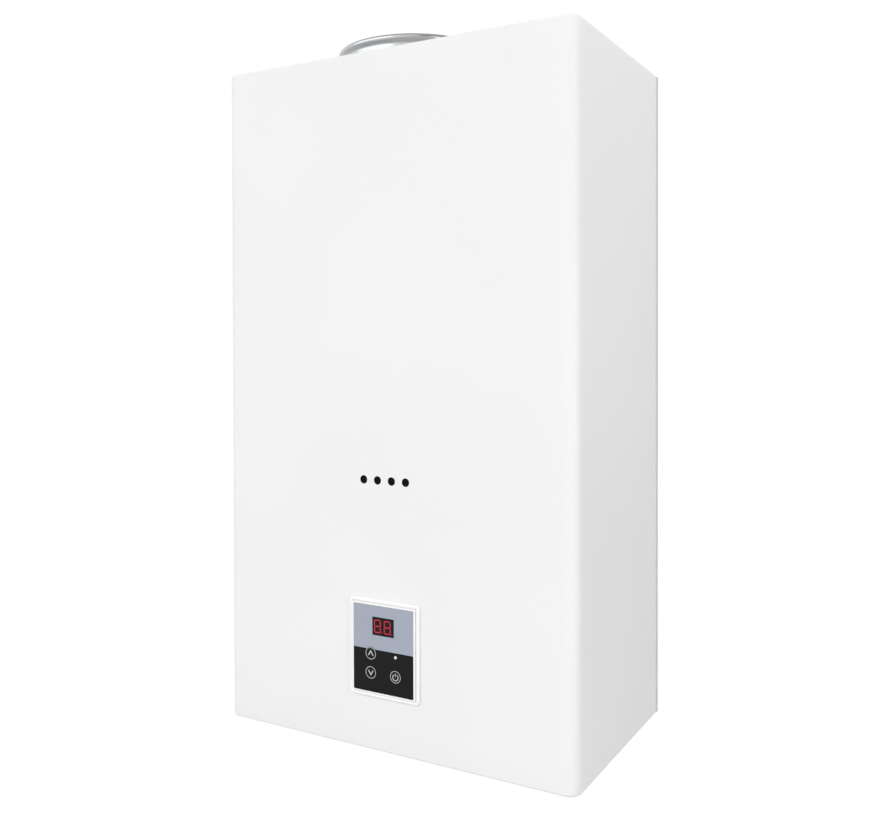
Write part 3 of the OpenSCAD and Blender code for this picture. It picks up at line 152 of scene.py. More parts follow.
class Finish:
    """One node tree, filled through node(): the type, its settings first, then its sockets."""

    def __init__(self, tree):
        self.tree = tree
        self.tree.nodes.clear()
        self.object_place = None

    def node(self, kind, settings=None, sockets=None, out=0):
        made = self.tree.nodes.new(kind)
        for key, setting in (settings or {}).items():
            setattr(made, key, setting)
        for key, given in (sockets or {}).items():
            if isinstance(given, Value):
                self.tree.links.new(given.socket, made.inputs[key])
            elif isinstance(given, tuple) and made.inputs[key].type == "RGBA":
                made.inputs[key].default_value = (*given, 1.0)
            else:
                made.inputs[key].default_value = given
        return Value(self, made.outputs[out]) if made.outputs else made

    def place(self):
        """Object coordinates, in metres, the same for every texture of the finish."""
        if self.object_place is None:
            self.object_place = self.node("ShaderNodeTexCoord", out="Object")
        return self.object_place

    def along(self, axis):
        return self.node("ShaderNodeSeparateXYZ", None, {0: self.place()}, out=axis)

    def stretched(self, stretch):
        """Object coordinates times a factor along each axis: a small factor draws a pattern out."""
        if stretch is None:
            return self.place()
        return self.node("ShaderNodeVectorMath", {"operation": "MULTIPLY"}, {0: self.place(), 1: stretch})

    def noise(self, scale, detail=2.0, stretch=None):
        return self.node(
            "ShaderNodeTexNoise", None, {"Vector": self.stretched(stretch), "Scale": scale, "Detail": detail}
        )

    def crystals(self, scale):
        """A random colour for each cell of an irregular pattern."""
        return self.node("ShaderNodeTexVoronoi", None, {"Vector": self.place(), "Scale": scale}, out="Color")

    def waves(self, scale, direction):
        return self.node(
            "ShaderNodeTexWave", {"bands_direction": direction}, {"Vector": self.place(), "Scale": scale}
        )

    def blend(self, share, first, second):
        return self.node("ShaderNodeMix", {"data_type": "RGBA"}, {0: share, 6: first, 7: second}, out=2)

    def relief(self, height, depth, strength=1.0):
        """A bump whose height of 1 stands for depth metres."""
        sockets = {"Height": height, "Distance": depth, "Strength": strength}
        return self.node("ShaderNodeBump", None, sockets, out="Normal")

    def shade(self, base, rough, metal=0.0, normal=None, **fixed):
        sockets = {"Base Color": base, "Roughness": rough, "Metallic": metal}
        if normal is not None:
            sockets["Normal"] = normal
        sockets.update({key.replace("_", " "): setting for key, setting in fixed.items()})
        surface = self.node("ShaderNodeBsdfPrincipled", None, sockets)
        self.node("ShaderNodeOutputMaterial", None, {"Surface": surface})


def new_finish(name):
    material = bpy.data.materials.new(name)
    material.use_nodes = True
    return material, Finish(material.node_tree)


# Finishes


def powder_coat(name, colour, shaded):
    """White powder coat: a fine orange peel of soft mounds with a finer grain on them."""
    material, f = new_finish(name)
    drift = f.noise(7.0, 1.0)
    peel = f.noise(420.0, 1.0)
    grain = f.noise(2600.0, 2.0)
    f.shade(
        f.blend(drift.step(0.35, 0.65), shaded, colour),
        0.40 + 0.06 * grain + 0.03 * drift,
        normal=f.relief(peel + 0.25 * grain, 0.00003, 0.35),
    )
    return material


def spangled_sheet(name, light, dark):
    """Hot-dip galvanised sheet: zinc crystals of about 7 mm, each with its own tone and gloss, and a
    grey bloom."""
    material, f = new_finish(name)
    crystal = f.node("ShaderNodeSeparateColor", None, {0: f.crystals(140.0)}, out=0)
    small = f.node("ShaderNodeSeparateColor", None, {0: f.crystals(420.0)}, out=1)
    bloom = f.noise(24.0, 4.0).step(0.45, 0.8)
    tone = f.blend(0.7 * crystal + 0.3 * small, dark, light)
    f.shade(
        f.blend(0.35 * bloom, tone, (0.62, 0.63, 0.64)),
        0.24 + 0.14 * crystal + 0.16 * bloom,
        1.0,
        f.relief(0.6 * crystal + f.noise(1500.0, 2.0), 0.00002, 0.4),
    )
    return material


def rolled_metal(
    name, light, dark, gloss, lines=(1.0, 1.0, 0.04), line_scale=900.0, tint=None, tint_share=0.0
):
    """Bare metal: fine drawing lines along one axis, slow tarnish, and a heat tint in patches if given."""
    material, f = new_finish(name)
    drawn = f.noise(line_scale, 2.0, lines)
    tarnish = f.noise(38.0, 5.0).step(0.38, 0.72)
    specks = f.noise(900.0, 3.0).step(0.62, 0.75)
    tone = f.blend(0.75 * tarnish + 0.25 * drawn, light, dark)
    if tint:
        tone = f.blend(tint_share * f.noise(16.0, 3.0).step(0.45, 0.7), tone, tint)
    f.shade(
        tone,
        gloss + 0.12 * tarnish + 0.08 * drawn + 0.1 * specks,
        1.0,
        f.relief(drawn + 0.3 * specks, 0.00002, 0.35),
    )
    return material


def collar_metal(name, light, dark, shade_low, shade_high):
    """Galvanised strip, brushed round, whose rolled edge is rougher and carries a painted shade, dark grey
    above a soft line.
    """
    material, f = new_finish(name)
    drawn = f.noise(1100.0, 2.0, (0.06, 0.06, 1.0))
    tarnish = f.noise(30.0, 4.0).step(0.35, 0.75)
    # painted shade: above a soft line the top of the rolled edge turns dark grey, standing for the dark line
    # along the rim
    rim = f.along("Z").step(shade_low, shade_high)
    tone = f.blend(0.6 * tarnish + 0.4 * drawn, light, dark)
    f.shade(
        f.blend(rim, tone, (0.20, 0.20, 0.205)),
        0.2 + 0.1 * tarnish + 0.06 * drawn + 0.16 * rim,
        1.0,
        f.relief(drawn, 0.00002, 0.3),
    )
    return material


def cast_metal(name, light, dark):
    """Die-cast alloy: a matt skin with a sandy grain, flow marks and rubbed high spots."""
    material, f = new_finish(name)
    sand = f.noise(1400.0, 3.0)
    flow = f.noise(45.0, 4.0, (1.0, 1.0, 0.35))
    rubbed = f.noise(120.0, 2.0).step(0.55, 0.75)
    f.shade(
        f.blend(0.6 * flow + 0.4 * sand, dark, light),
        0.52 - 0.16 * rubbed + 0.08 * sand,
        0.85,
        f.relief(sand + 0.5 * flow, 0.00006, 0.5),
    )
    return material


def wound_wire(name, wire, shade, cheek, low, high):
    """Enamelled wire in level turns of 0.8 mm between dark cheeks: a fine wave along the height, which also
    paints shade between the turns and a highlight on each.
    """
    material, f = new_finish(name)
    height = f.along("Z")
    turns = f.waves(2500.0 / (2.0 * math.pi), "Z")
    sheen = f.noise(60.0, 2.0)
    wound = height.step(low, low + 0.0003) * (1.0 - height.step(high - 0.0003, high))
    f.shade(
        # painted shade and highlight: the wave darkens the wire toward the gaps between turns and lightens
        # each crown, and a noise lightens it in patches
        f.blend(wound, cheek, f.blend(0.6 * turns + 0.4 * sheen, shade, wire)),
        0.42 - 0.1 * wound * turns,
        0.6 * wound,
        f.relief(wound * turns, 0.00012, 0.7),
    )
    return material


def moulded(name, colour, shaded, gloss, grain_depth=0.00004, **fixed):
    """Injection-moulded plastic: a spark-eroded grain, a faint flow tone and small rubbed patches."""
    material, f = new_finish(name)
    grain = f.noise(1900.0, 2.0)
    flow = f.noise(28.0, 3.0)
    rubbed = f.noise(210.0, 3.0).step(0.6, 0.78)
    f.shade(
        f.blend(0.7 * flow + 0.3 * grain, shaded, colour),
        gloss + 0.1 * grain - 0.06 * rubbed,
        normal=f.relief(grain, grain_depth, 0.35),
        **fixed,
    )
    return material


def glazed(name, colour, shaded):
    """Fired ceramic: a warm glaze that pools unevenly, with fine iron specks."""
    material, f = new_finish(name)
    pool = f.noise(160.0, 3.0)
    specks = f.noise(1500.0, 1.0).step(0.68, 0.74)
    f.shade(
        f.blend(0.5 * specks, f.blend(pool, shaded, colour), (0.35, 0.25, 0.16)),
        0.16 + 0.2 * pool,
        normal=f.relief(pool, 0.00008, 0.4),
        Coat_Weight=0.4,
    )
    return material


def printed_overlay(name, upper, lower, split):
    """Printed film: grey above the split and black below it, on a fine satin grain with faint smears."""
    material, f = new_finish(name)
    above = f.along("Z").step(split - 0.00012, split + 0.00012)
    grain = f.noise(5200.0, 1.0)
    smear = f.noise(55.0, 3.0)
    grey = f.blend(smear, tuple(0.95 * c for c in upper), tuple(min(1.0, 1.04 * c) for c in upper))
    black = f.blend(smear, lower, tuple(1.6 * c for c in lower))
    f.shade(
        f.blend(above, black, grey),
        0.34 + 0.08 * grain + 0.1 * smear,
        normal=f.relief(grain, 0.000012, 0.3),
        Specular_IOR_Level=0.1,
    )
    return material


def lit_segments(name, lit, rim):
    """Lit display bars: a red glow that is uneven along each bar, over a red moulded body."""
    material, f = new_finish(name)
    glow = f.noise(420.0, 2.0).step(0.2, 0.8)
    light = f.blend(glow, rim, lit)
    f.shade(light, 0.3 + 0.15 * glow, Emission_Color=light, Emission_Strength=0.3)
    return material


def dark_glass(name, colour, shaded, smoke, **fixed):
    """Dark glass: a smooth face with a faint haze of soot and dust that dulls the gloss in patches. For the
    sight pane the near-black colour is a painted shade for the dark chamber behind it.
    """
    material, f = new_finish(name)
    haze = f.noise(180.0, 4.0).step(0.4, 0.75)
    dust = f.noise(3800.0, 1.0).step(0.66, 0.72)
    f.shade(
        f.blend(smoke * haze + 0.3 * dust, colour, shaded),
        0.06 + 0.16 * haze + 0.2 * dust,
        normal=f.relief(haze, 0.00001, 0.2),
        **fixed,
    )
    return material


def solder_mask(name):
    """Circuit board: green mask over paler copper tracks on a square grid, with a glassy coat."""
    material, f = new_finish(name)
    tracks_x = f.noise(260.0, 0.0, (1.0, 1.0, 0.05)).step(0.5, 0.53)
    tracks_z = f.noise(240.0, 0.0, (0.05, 1.0, 1.0)).step(0.54, 0.57)
    weave = f.noise(2200.0, 1.0)
    track = tracks_x.greatest(tracks_z)
    f.shade(
        f.blend(0.8 * track + 0.1 * weave, (0.006, 0.055, 0.022), (0.02, 0.16, 0.06)),
        0.22 + 0.16 * weave,
        normal=f.relief(track, 0.00004, 0.5),
        Coat_Weight=0.3,
    )
    return material


def cell_sleeve(name, low, high):
    """Shrink sleeve of a dry cell: a dark blue body, pale above, with bare metal at its lower end."""
    material, f = new_finish(name)
    height = f.along("Z")
    span = high - low
    band = height.step(low + 0.70 * span, low + 0.705 * span)
    bare = 1.0 - height.step(low + 0.02 * span, low + 0.03 * span)
    wrinkle = f.noise(140.0, 3.0, (1.0, 1.0, 0.25))
    body = f.blend(wrinkle, (0.018, 0.03, 0.05), (0.03, 0.05, 0.08))
    pale = f.blend(wrinkle, (0.42, 0.44, 0.46), (0.5, 0.52, 0.54))
    f.shade(
        f.blend(bare, f.blend(band, body, pale), (0.62, 0.63, 0.65)),
        0.26 + 0.14 * wrinkle,
        0.9 * bare,
        f.relief(wrinkle, 0.00005, 0.4),
    )
    return material


def glow_lens(name, colour, edge):
    """Status lens: milky plastic, brighter in the middle of its grain, faintly lit."""
    material, f = new_finish(name)
    milk = f.noise(900.0, 2.0)
    light = f.blend(milk, edge, colour)
    f.shade(light, 0.25 + 0.1 * milk, Emission_Color=light, Emission_Strength=0.08)
    return material


cell_low, cell_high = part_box("battery_cells")
coil_low, coil_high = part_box("solenoid_coils")
COIL_CHEEK = 0.0015
OVERLAY_SPLIT = -0.4635
FINISHES = {
    "powder_coat_white": powder_coat("powder_coat_white", (0.862, 0.864, 0.866), (0.848, 0.850, 0.853)),
    "galvanised_sheet": spangled_sheet("galvanised_sheet", (0.72, 0.74, 0.76), (0.46, 0.48, 0.50)),
    # the last two numbers are the heights of the painted shade on the collar's rim
    "collar_steel": collar_metal("collar_steel", (0.58, 0.59, 0.60), (0.46, 0.47, 0.48), 0.0578, 0.0588),
    "stainless": rolled_metal(
        "stainless",
        (0.62, 0.60, 0.57),
        (0.36, 0.34, 0.32),
        0.28,
        lines=(0.05, 1.0, 1.0),
        tint=(0.42, 0.30, 0.20),
        tint_share=0.5,
    ),
    "zinc_screw": rolled_metal("zinc_screw", (0.70, 0.71, 0.72), (0.48, 0.49, 0.47), 0.24, (1.0, 1.0, 1.0)),
    "copper": rolled_metal(
        "copper",
        (0.83, 0.40, 0.25),
        (0.44, 0.18, 0.11),
        0.22,
        lines=(0.06, 1.0, 1.0),
        line_scale=700.0,
        tint=(0.30, 0.11, 0.09),
        tint_share=0.45,
    ),
    "brass": rolled_metal("brass", (0.80, 0.58, 0.27), (0.50, 0.34, 0.14), 0.24, (0.2, 0.2, 1.0), 1300.0),
    "die_cast": cast_metal("die_cast", (0.60, 0.61, 0.62), (0.40, 0.41, 0.42)),
    "winding": wound_wire(
        "winding",
        (0.62, 0.23, 0.09),
        (0.20, 0.06, 0.03),
        (0.02, 0.02, 0.022),
        coil_low.z + COIL_CHEEK,
        coil_high.z - COIL_CHEEK,
    ),
    "steel_dark": rolled_metal("steel_dark", (0.22, 0.22, 0.23), (0.10, 0.10, 0.105), 0.34),
    "ceramic": glazed("ceramic", (0.86, 0.83, 0.76), (0.70, 0.66, 0.58)),
    "lead_rubber": moulded("lead_rubber", (0.62, 0.59, 0.54), (0.50, 0.47, 0.43), 0.46),
    "black_plastic": moulded("black_plastic", (0.030, 0.030, 0.032), (0.016, 0.016, 0.018), 0.40, 0.00006),
    "grey_plastic": moulded("grey_plastic", (0.30, 0.31, 0.32), (0.23, 0.24, 0.25), 0.40, 0.00006),
    "white_plastic": moulded("white_plastic", (0.945, 0.945, 0.945), (0.925, 0.925, 0.925), 0.24, 0.00001),
    "overlay": printed_overlay("overlay", (0.373, 0.405, 0.480), (0.0068, 0.0068, 0.0072), OVERLAY_SPLIT),
    "display_black": dark_glass(
        "display_black", (0.007, 0.005, 0.006), (0.018, 0.013, 0.015), 0.5, Specular_IOR_Level=0.15
    ),
    "segment_red": lit_segments("segment_red", (0.50, 0.012, 0.030), (0.34, 0.007, 0.018)),
    "key_black": moulded(
        "key_black", (0.0095, 0.0095, 0.010), (0.0075, 0.0075, 0.008), 0.32, 0.00002, Specular_IOR_Level=0.12
    ),
    "led_white": glow_lens("led_white", (0.82, 0.83, 0.84), (0.62, 0.63, 0.65)),
    "board_green": solder_mask("board_green"),
    "cell_sleeve": cell_sleeve("cell_sleeve", cell_low.z, cell_high.z),
    "contact_metal": rolled_metal("contact_metal", (0.72, 0.70, 0.64), (0.52, 0.50, 0.45), 0.22),
    # painted shade: the sight pane is an opaque near-black, standing for the dark chamber behind the glass
    "sight_pane": dark_glass(
        "sight_pane", (0.0015, 0.0015, 0.0018), (0.006, 0.0055, 0.005), 0.6, Specular_IOR_Level=0.08
    ),
    "key_print": moulded("key_print", (0.56, 0.57, 0.58), (0.47, 0.48, 0.49), 0.34, 0.00001),
}
for subpart in frame["record"]["subparts"]:
    cad_mesh = frame["nodes"][subpart["node"]].data
    cad_mesh.materials.clear()
    cad_mesh.materials.append(FINISHES[subpart["material_slot"]])


# Surfaces


def grid_faces(rows, columns, close_rows=False, close_columns=False):
    """Quads over a grid of points numbered row by row; a closed way joins its last line to its first."""
    i = np.arange(rows if close_rows else rows - 1)[:, None]
    j = np.arange(columns if close_columns else columns - 1)[None, :]
    next_i, next_j = (i + 1) % rows, (j + 1) % columns
    corners = (i * columns + j, i * columns + next_j, next_i * columns + next_j, next_i * columns + j)
    return np.stack(np.broadcast_arrays(*corners), axis=-1).reshape(-1, 4)


def pole_faces(ring, pole):
    """Triangles from each edge of a closed ring to one point."""
    return np.stack([ring, np.roll(ring, -1), np.full(len(ring), pole)], axis=-1)


def gather(*shapes):
    """Several (points, list of face arrays) as one, later faces counted on from the earlier points."""
    starts = np.cumsum([0] + [len(points) for points, _ in shapes])
    faces = [face + start for (_, groups), start in zip(shapes, starts) for face in groups]
    return np.concatenate([points for points, _ in shapes]), faces


def outward(points, faces):
    """Faces turned so that a closed shape's volume, the sum of its corner tetrahedra, is positive."""
    middle = points - points.mean(axis=0)
    volume = 0.0
    for group in faces:
        for k in range(1, group.shape[1] - 1):
            a, b, c = middle[group[:, 0]], middle[group[:, k]], middle[group[:, k + 1]]
            volume += np.einsum("ij,ij->", a, np.cross(b, c))
    return [group[:, ::-1] for group in faces] if volume < 0.0 else faces


def make_piece(name, shape, finish, body, stands_for=(), sharp=38.0, closed=True):
    """Puts a shape into a mesh in the frame's metres, smooth up to a sharp angle, and hangs it on a body."""
    points, faces = shape
    faces = outward(points, faces) if closed else faces
    mesh = bpy.data.meshes.new(name)
    metres = (points - (0.0, 0.0, HANG_HEIGHT)) / 1000.0
    mesh.from_pydata(metres.tolist(), [], [face for group in faces for face in group.tolist()])
    mesh.shade_smooth()
    mesh.set_sharp_from_angle(angle=math.radians(sharp))
    mesh.materials.append(FINISHES[finish])
    piece = bpy.data.objects.new(name, mesh)
    bpy.context.scene.collection.objects.link(piece)
    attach(piece, body)
    if stands_for:
        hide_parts(*stands_for)
    return piece


def placed(shape, place, flip=1.0):
    """A shape moved to a place; a flip of -1 first turns it over about X."""
    points, faces = shape
    return points * (1.0, flip, flip) + place, faces


def arc(start, end, count):
    return np.radians(np.linspace(start, end, count))


def profile_arc(radius, height, size, start, end, count):
    """Points of (radius, height) on an arc of a turned profile."""
    turn = arc(start, end, count)
    return np.stack([radius + size * np.cos(turn), height + size * np.sin(turn)], axis=-1)


def hexagon_side(corner_r, angle):
    """Distance from a hexagon's middle to its side, by angle, for a radius to its corners."""
    return corner_r * math.cos(math.pi / 6.0) / np.cos(angle % (math.pi / 3.0) - math.pi / 6.0)


def rounded_outline(half_w, half_h, radius, count=9):
    """Corner centres and outward directions of a rounded rectangle, with count points a corner."""
    turn = np.concatenate([arc(90.0 * k, 90.0 * k + 90.0, count) for k in range(4)])
    side_w = np.repeat([1.0, -1.0, -1.0, 1.0], count)
    side_h = np.repeat([1.0, 1.0, -1.0, -1.0], count)
    return side_w * (half_w - radius), side_h * (half_h - radius), np.cos(turn), np.sin(turn)


def cover_sheet():
    """The bent cover. Rows run over the top lip, its fold, the wall and the bottom lip; columns run round the
    outline from the left rear edge to the right. A point is the outline's inner path plus the bend radius,
    less the row's inset, along the outward direction. Blocks of cells round the openings give way to rings
    that lead from the block's border to the opening's edge."""
    least_bend, softening, sight_sink = 0.5, 0.07, 0.25
    quarter = arc(0.0, 90.0, 7)
    lip = np.array([LIP_W, 10.4, 8.3, 6.0, 3.7, 2.7])
    block = np.linspace(-5.5, 5.5, 9)
    window_rise = np.array([39.6, 40.5, 41.4, 42.2, 43.0])
    window_reach = np.array([32.5, 33.4, 34.3, 35.2, 36.0])
    upper_z = np.linspace(565.0, 250.0, 16)
    between_z = np.linspace(208.0, 145.0, 4)
    window_z = PANEL_Z + np.concatenate([window_rise[::-1], np.linspace(26.0, -26.0, 5), -window_rise])
    wall_z = np.concatenate([upper_z, SIGHT_Z - block, between_z, window_z, [30.0, 16.0]])
    inset = np.concatenate(
        [lip, FOLD - FOLD * np.sin(quarter), 0.0 * wall_z, FOLD - FOLD * np.cos(quarter), lip[::-1]]
    )
    height = np.concatenate(
        [
            0.0 * lip + CASE_H,
            CASE_H - FOLD + FOLD * np.cos(quarter),
            wall_z,
            FOLD - FOLD * np.sin(quarter),
            0.0 * lip,
        ]
    )
    sight_x = np.concatenate([hole_x + block for hole_x in SIGHT_X])
    outer_x = np.array([44.0, 58.0, 74.0, 92.0, 112.0, 134.0])
    front_x = np.concatenate([-outer_x[::-1], -window_reach[::-1], sight_x, window_reach, outer_x])
    side = np.concatenate([[0.0, 0.035, 0.0768], np.linspace(0.14, 0.94, 9)])
    bend = arc(0.0, 90.0, 13)
    side_one, bend_one, front_one = np.ones_like(side), np.ones_like(bend), np.ones_like(front_x)
    centre_x = CASE_HALF_W - CASE_BEND
    reach_x = np.concatenate([-side_one, -bend_one, front_x / centre_x, bend_one, side_one])
    reach_y = np.concatenate([side, bend_one, front_one, bend_one, side[::-1]])
    normal_x = np.concatenate([-side_one, -np.cos(bend), 0.0 * front_x, np.sin(bend), side_one])
    normal_y = np.concatenate([0.0 * side, -np.sin(bend), -front_one, -np.cos(bend), 0.0 * side])
    radius = np.maximum(CASE_BEND - inset, least_bend)[:, None]
    half_w = (CASE_HALF_W - inset)[:, None] - radius
    depth = (CASE_D - inset)[:, None] - radius
    x = half_w * reach_x + radius * normal_x
    y = -COVER_REAR * (1.0 - reach_y) - depth * reach_y + radius * normal_y
    z = np.broadcast_to(height[:, None], x.shape)
    rows, columns = x.shape
    points = np.stack([x, y, z], axis=-1).reshape(-1, 3)
    number = np.arange(rows * columns).reshape(rows, columns)
    kept = np.ones((rows - 1, columns - 1), bool)
    wall_row = len(lip) + len(quarter)
    front_column = len(side) + len(bend)
    rings = []

    def ring_patch(row, row_cells, column, column_cells, edge_of, sink):
        """Swaps a block of cells for a ring from its border to an opening's edge, let in by sink."""
        r0, r1 = wall_row + row, wall_row + row + row_cells
        c0, c1 = front_column + column, front_column + column + column_cells
        kept[r0:r1, c0:c1] = False
        border = np.concatenate(
            [number[r0, c0:c1], number[r0:r1, c1], number[r1, c1:c0:-1], number[r1:r0:-1, c0]]
        )
        outer = points[border]
        edge = edge_of(outer)
        softened = edge + softening * (outer - edge)
        rings.append((border, softened, edge + (0.0, sink, 0.0)))

    def round_edge(hole_x):
        def edge_of(outer):
            away = outer - (hole_x, -CASE_D, SIGHT_Z)
            return outer - away * (1.0 - SIGHT_R / np.linalg.norm(away, axis=1, keepdims=True))

        return edge_of

    def window_edge(outer):
        shrink = (WINDOW_HALF_W / window_reach[-1], 1.0, WINDOW_HALF_H / window_rise[-1])
        local = (outer - (0.0, 0.0, PANEL_Z)) * shrink
        core_x, core_z = WINDOW_HALF_W - WINDOW_R, WINDOW_HALF_H - WINDOW_R
        core = np.clip(local, (-core_x, -CASE_D, -core_z), (core_x, -CASE_D, core_z))
        beyond = local - core
        length = np.maximum(np.linalg.norm(beyond, axis=1, keepdims=True), 1e-9)
        return core + beyond * (WINDOW_R / length) + (0.0, 0.0, PANEL_Z)

    block_cells = len(block) - 1
    sight_column = len(outer_x) + len(window_reach)
    for k, hole_x in enumerate(SIGHT_X):
        column = sight_column + len(block) * k
        ring_patch(len(upper_z), block_cells, column, block_cells, round_edge(hole_x), sight_sink)
    window_row = len(upper_z) + len(block) + len(between_z)
    window_cells = len(front_x) - 2 * len(outer_x) - 1
    ring_patch(window_row, len(window_z) - 1, len(outer_x), window_cells, window_edge, 0.0)
    screw_notch = slice(rows - 5, rows - 3)
    kept[screw_notch, :2] = False
    kept[screw_notch, -2:] = False
    faces = [grid_faces(rows, columns).reshape(rows - 1, columns - 1, 4)[kept]]
    for border, softened, edge in rings:
        first = len(points) + np.arange(len(border))
        second = first + len(border)
        points = np.concatenate([points, softened, edge])
        for a, b in ((border, first), (first, second)):
            faces.append(np.stack([a, np.roll(a, -1), np.roll(b, -1), b], axis=-1))
    used, faces = np.unique(np.concatenate(faces)[:, ::-1], return_inverse=True)
    return points[used], [faces.reshape(-1, 4)]


def bezel_frame():
    """The panel's frame: a closed profile of (inset, depth) carried round a rounded rectangle of 69 by 83 mm.
    It rises over a rounded sill, half an ellipse, and a groove to a slim bevelled body, drops to the ledge
    under the overlay, and goes back along the skirt."""
    tier = arc(180.0, 8.0, 17)
    profile = np.concatenate(
        [
            [(0.0, -204.45)],
            np.stack([1.6 + 1.6 * np.cos(tier), -204.6 - 1.5 * np.sin(tier)], axis=-1),
            [(3.2, -204.5), (3.6, -204.5), (3.62, -206.4), (3.72, -206.8), (3.95, -206.96), (4.2, -207.0)],
            [(4.5, -207.0), (4.76, -206.94), (4.9, -206.7), (4.9, -205.8), (7.0, -205.8), (7.0, -204.6)],
            [(5.3, -204.6), (5.3, -199.0), (3.8, -199.0), (3.8, -204.02), (0.9, -204.02), (0.7, -204.45)],
        ]
    )
    inset, depth = profile[:, :1], profile[:, 1:]
    radius = np.maximum(PANEL_R - inset, 0.7)
    outline = rounded_outline(PANEL_HALF_W - inset, PANEL_HALF_H - inset, radius)
    centre_x, centre_z, normal_x, normal_z = outline
    x = centre_x + radius * normal_x
    z = PANEL_Z + centre_z + radius * normal_z
    points = np.stack(np.broadcast_arrays(x, depth, z), axis=-1)
    return points.reshape(-1, 3), [grid_faces(*x.shape, True, True)]


def raised_line(path, width, closed):
    """Carries a low trapezium along a flat path. At each point the sideways direction is the mean of the two
    neighbouring line normals, lengthened by the mitre so that the line keeps its width."""
    ahead = np.roll(path, -1, axis=0) - path
    ahead /= np.maximum(np.linalg.norm(ahead, axis=1, keepdims=True), 1e-9)
    behind = np.roll(ahead, 1, axis=0)
    if not closed:
        ahead[-1], behind[0] = ahead[-2], ahead[0]
    mean = ahead + behind
    mean /= np.linalg.norm(mean, axis=1, keepdims=True)
    mitre = 1.0 / np.maximum(np.einsum("ij,ij->i", mean, ahead), 0.3)
    sideways = np.stack([-mean[:, 1], mean[:, 0]], axis=-1) * mitre[:, None]
    across = np.array([-0.5, -0.46, 0.46, 0.5])[:, None, None] * width
    flat = path[None] + across * sideways[None]
    depth = KEY_FACE + np.array([0.02, -0.06, -0.06, 0.02])[:, None]
    points = np.stack(np.broadcast_arrays(flat[..., 0], depth, flat[..., 1]), axis=-1).reshape(-1, 3)
    count = len(path)
    faces = [grid_faces(4, count, True, closed)]
    if not closed:
        first = np.arange(4)[None] * count
        faces += [first[:, ::-1], first + count - 1]
    return points, faces


def circle_path(centre, radius, start, end, count):
    turn = arc(start, end, count)
    return np.array(centre) + radius * np.stack([np.cos(turn), np.sin(turn)], axis=-1)


def key_print(centre, mark):
    """A printed ring, 10.2 mm across, with its sign: a chevron, or an open circle with a bar."""
    ring = raised_line(circle_path(centre, 4.85, 0.0, 354.0, 60), 0.52, True)
    return gather(ring, *(raised_line(np.array(centre) + line, width, False) for line, width in mark))


def turned(profile, axis_x, axis_y, columns=96, form=None, along="Z", closed=True):
    """Turns a profile of (radius, height) about an axis: each point goes to radius times (cos, sin) of the
    angle. form may change the radius by angle and height, as for a thread, a hexagon or a knurl. An open
    profile starts and ends on the axis, where its end points become single poles."""
    profile = np.asarray(profile, float)
    rim = profile if closed else profile[1:-1]
    shape = (len(rim), columns)
    angle = np.linspace(0.0, 2.0 * math.pi, columns, endpoint=False)[None]
    radius, height = np.broadcast_to(rim[:, :1], shape), np.broadcast_to(rim[:, 1:], shape)
    if form:
        radius = form(radius, height, angle)
    points = np.stack([radius * np.cos(angle), radius * np.sin(angle), height], axis=-1).reshape(-1, 3)
    faces = [grid_faces(len(rim), columns, closed, True)]
    if not closed:
        start = len(points)
        points = np.concatenate([points, [(0.0, 0.0, profile[0, 1]), (0.0, 0.0, profile[-1, 1])]])
        first = np.arange(columns)
        last = (len(rim) - 1) * columns + first
        faces += [pole_faces(first[::-1], start), pole_faces(last, start + 1)]
    if along == "X":
        points = points[:, [2, 0, 1]]
    if along == "Y":
        points = points[:, [1, 2, 0]]
    return points + (axis_x, axis_y, 0.0), faces


def collar_sheet():
    """The flue collar: a turned strip, 1 mm thick, from its flange through a bend up the wall to a rolled
    bead, and back inside. Below the bead the outer wall flares by half a cosine wave."""
    bead_z = RIM - BEAD_R
    flare = np.linspace(0.05, 1.0, 12)
    profile = np.concatenate(
        [
            [(75.5, ROOF), (67.0, ROOF)],
            profile_arc(67.5, ROOF + 2.0, 2.0, 270.0, 180.0, 7),
            [(FLUE_R, 596.0), (FLUE_R, 602.0)],
            profile_arc(FLUE_R + BEAD_R, bead_z, BEAD_R, 180.0, -12.0, 18),
            np.stack([67.9 + 1.4 * np.cos(math.pi * flare), bead_z - 0.4 - 5.6 * flare], axis=-1),
            [(66.5, 600.0), (66.5, 594.0)],
            profile_arc(67.7, ROOF + 2.2, 1.2, 180.0, 270.0, 7),
            [(71.0, ROOF + 1.0), (75.2, ROOF + 1.0), (75.5, ROOF + 0.8)],
        ]
    )
    return turned(profile, FLUE_X, FLUE_Y, 160)


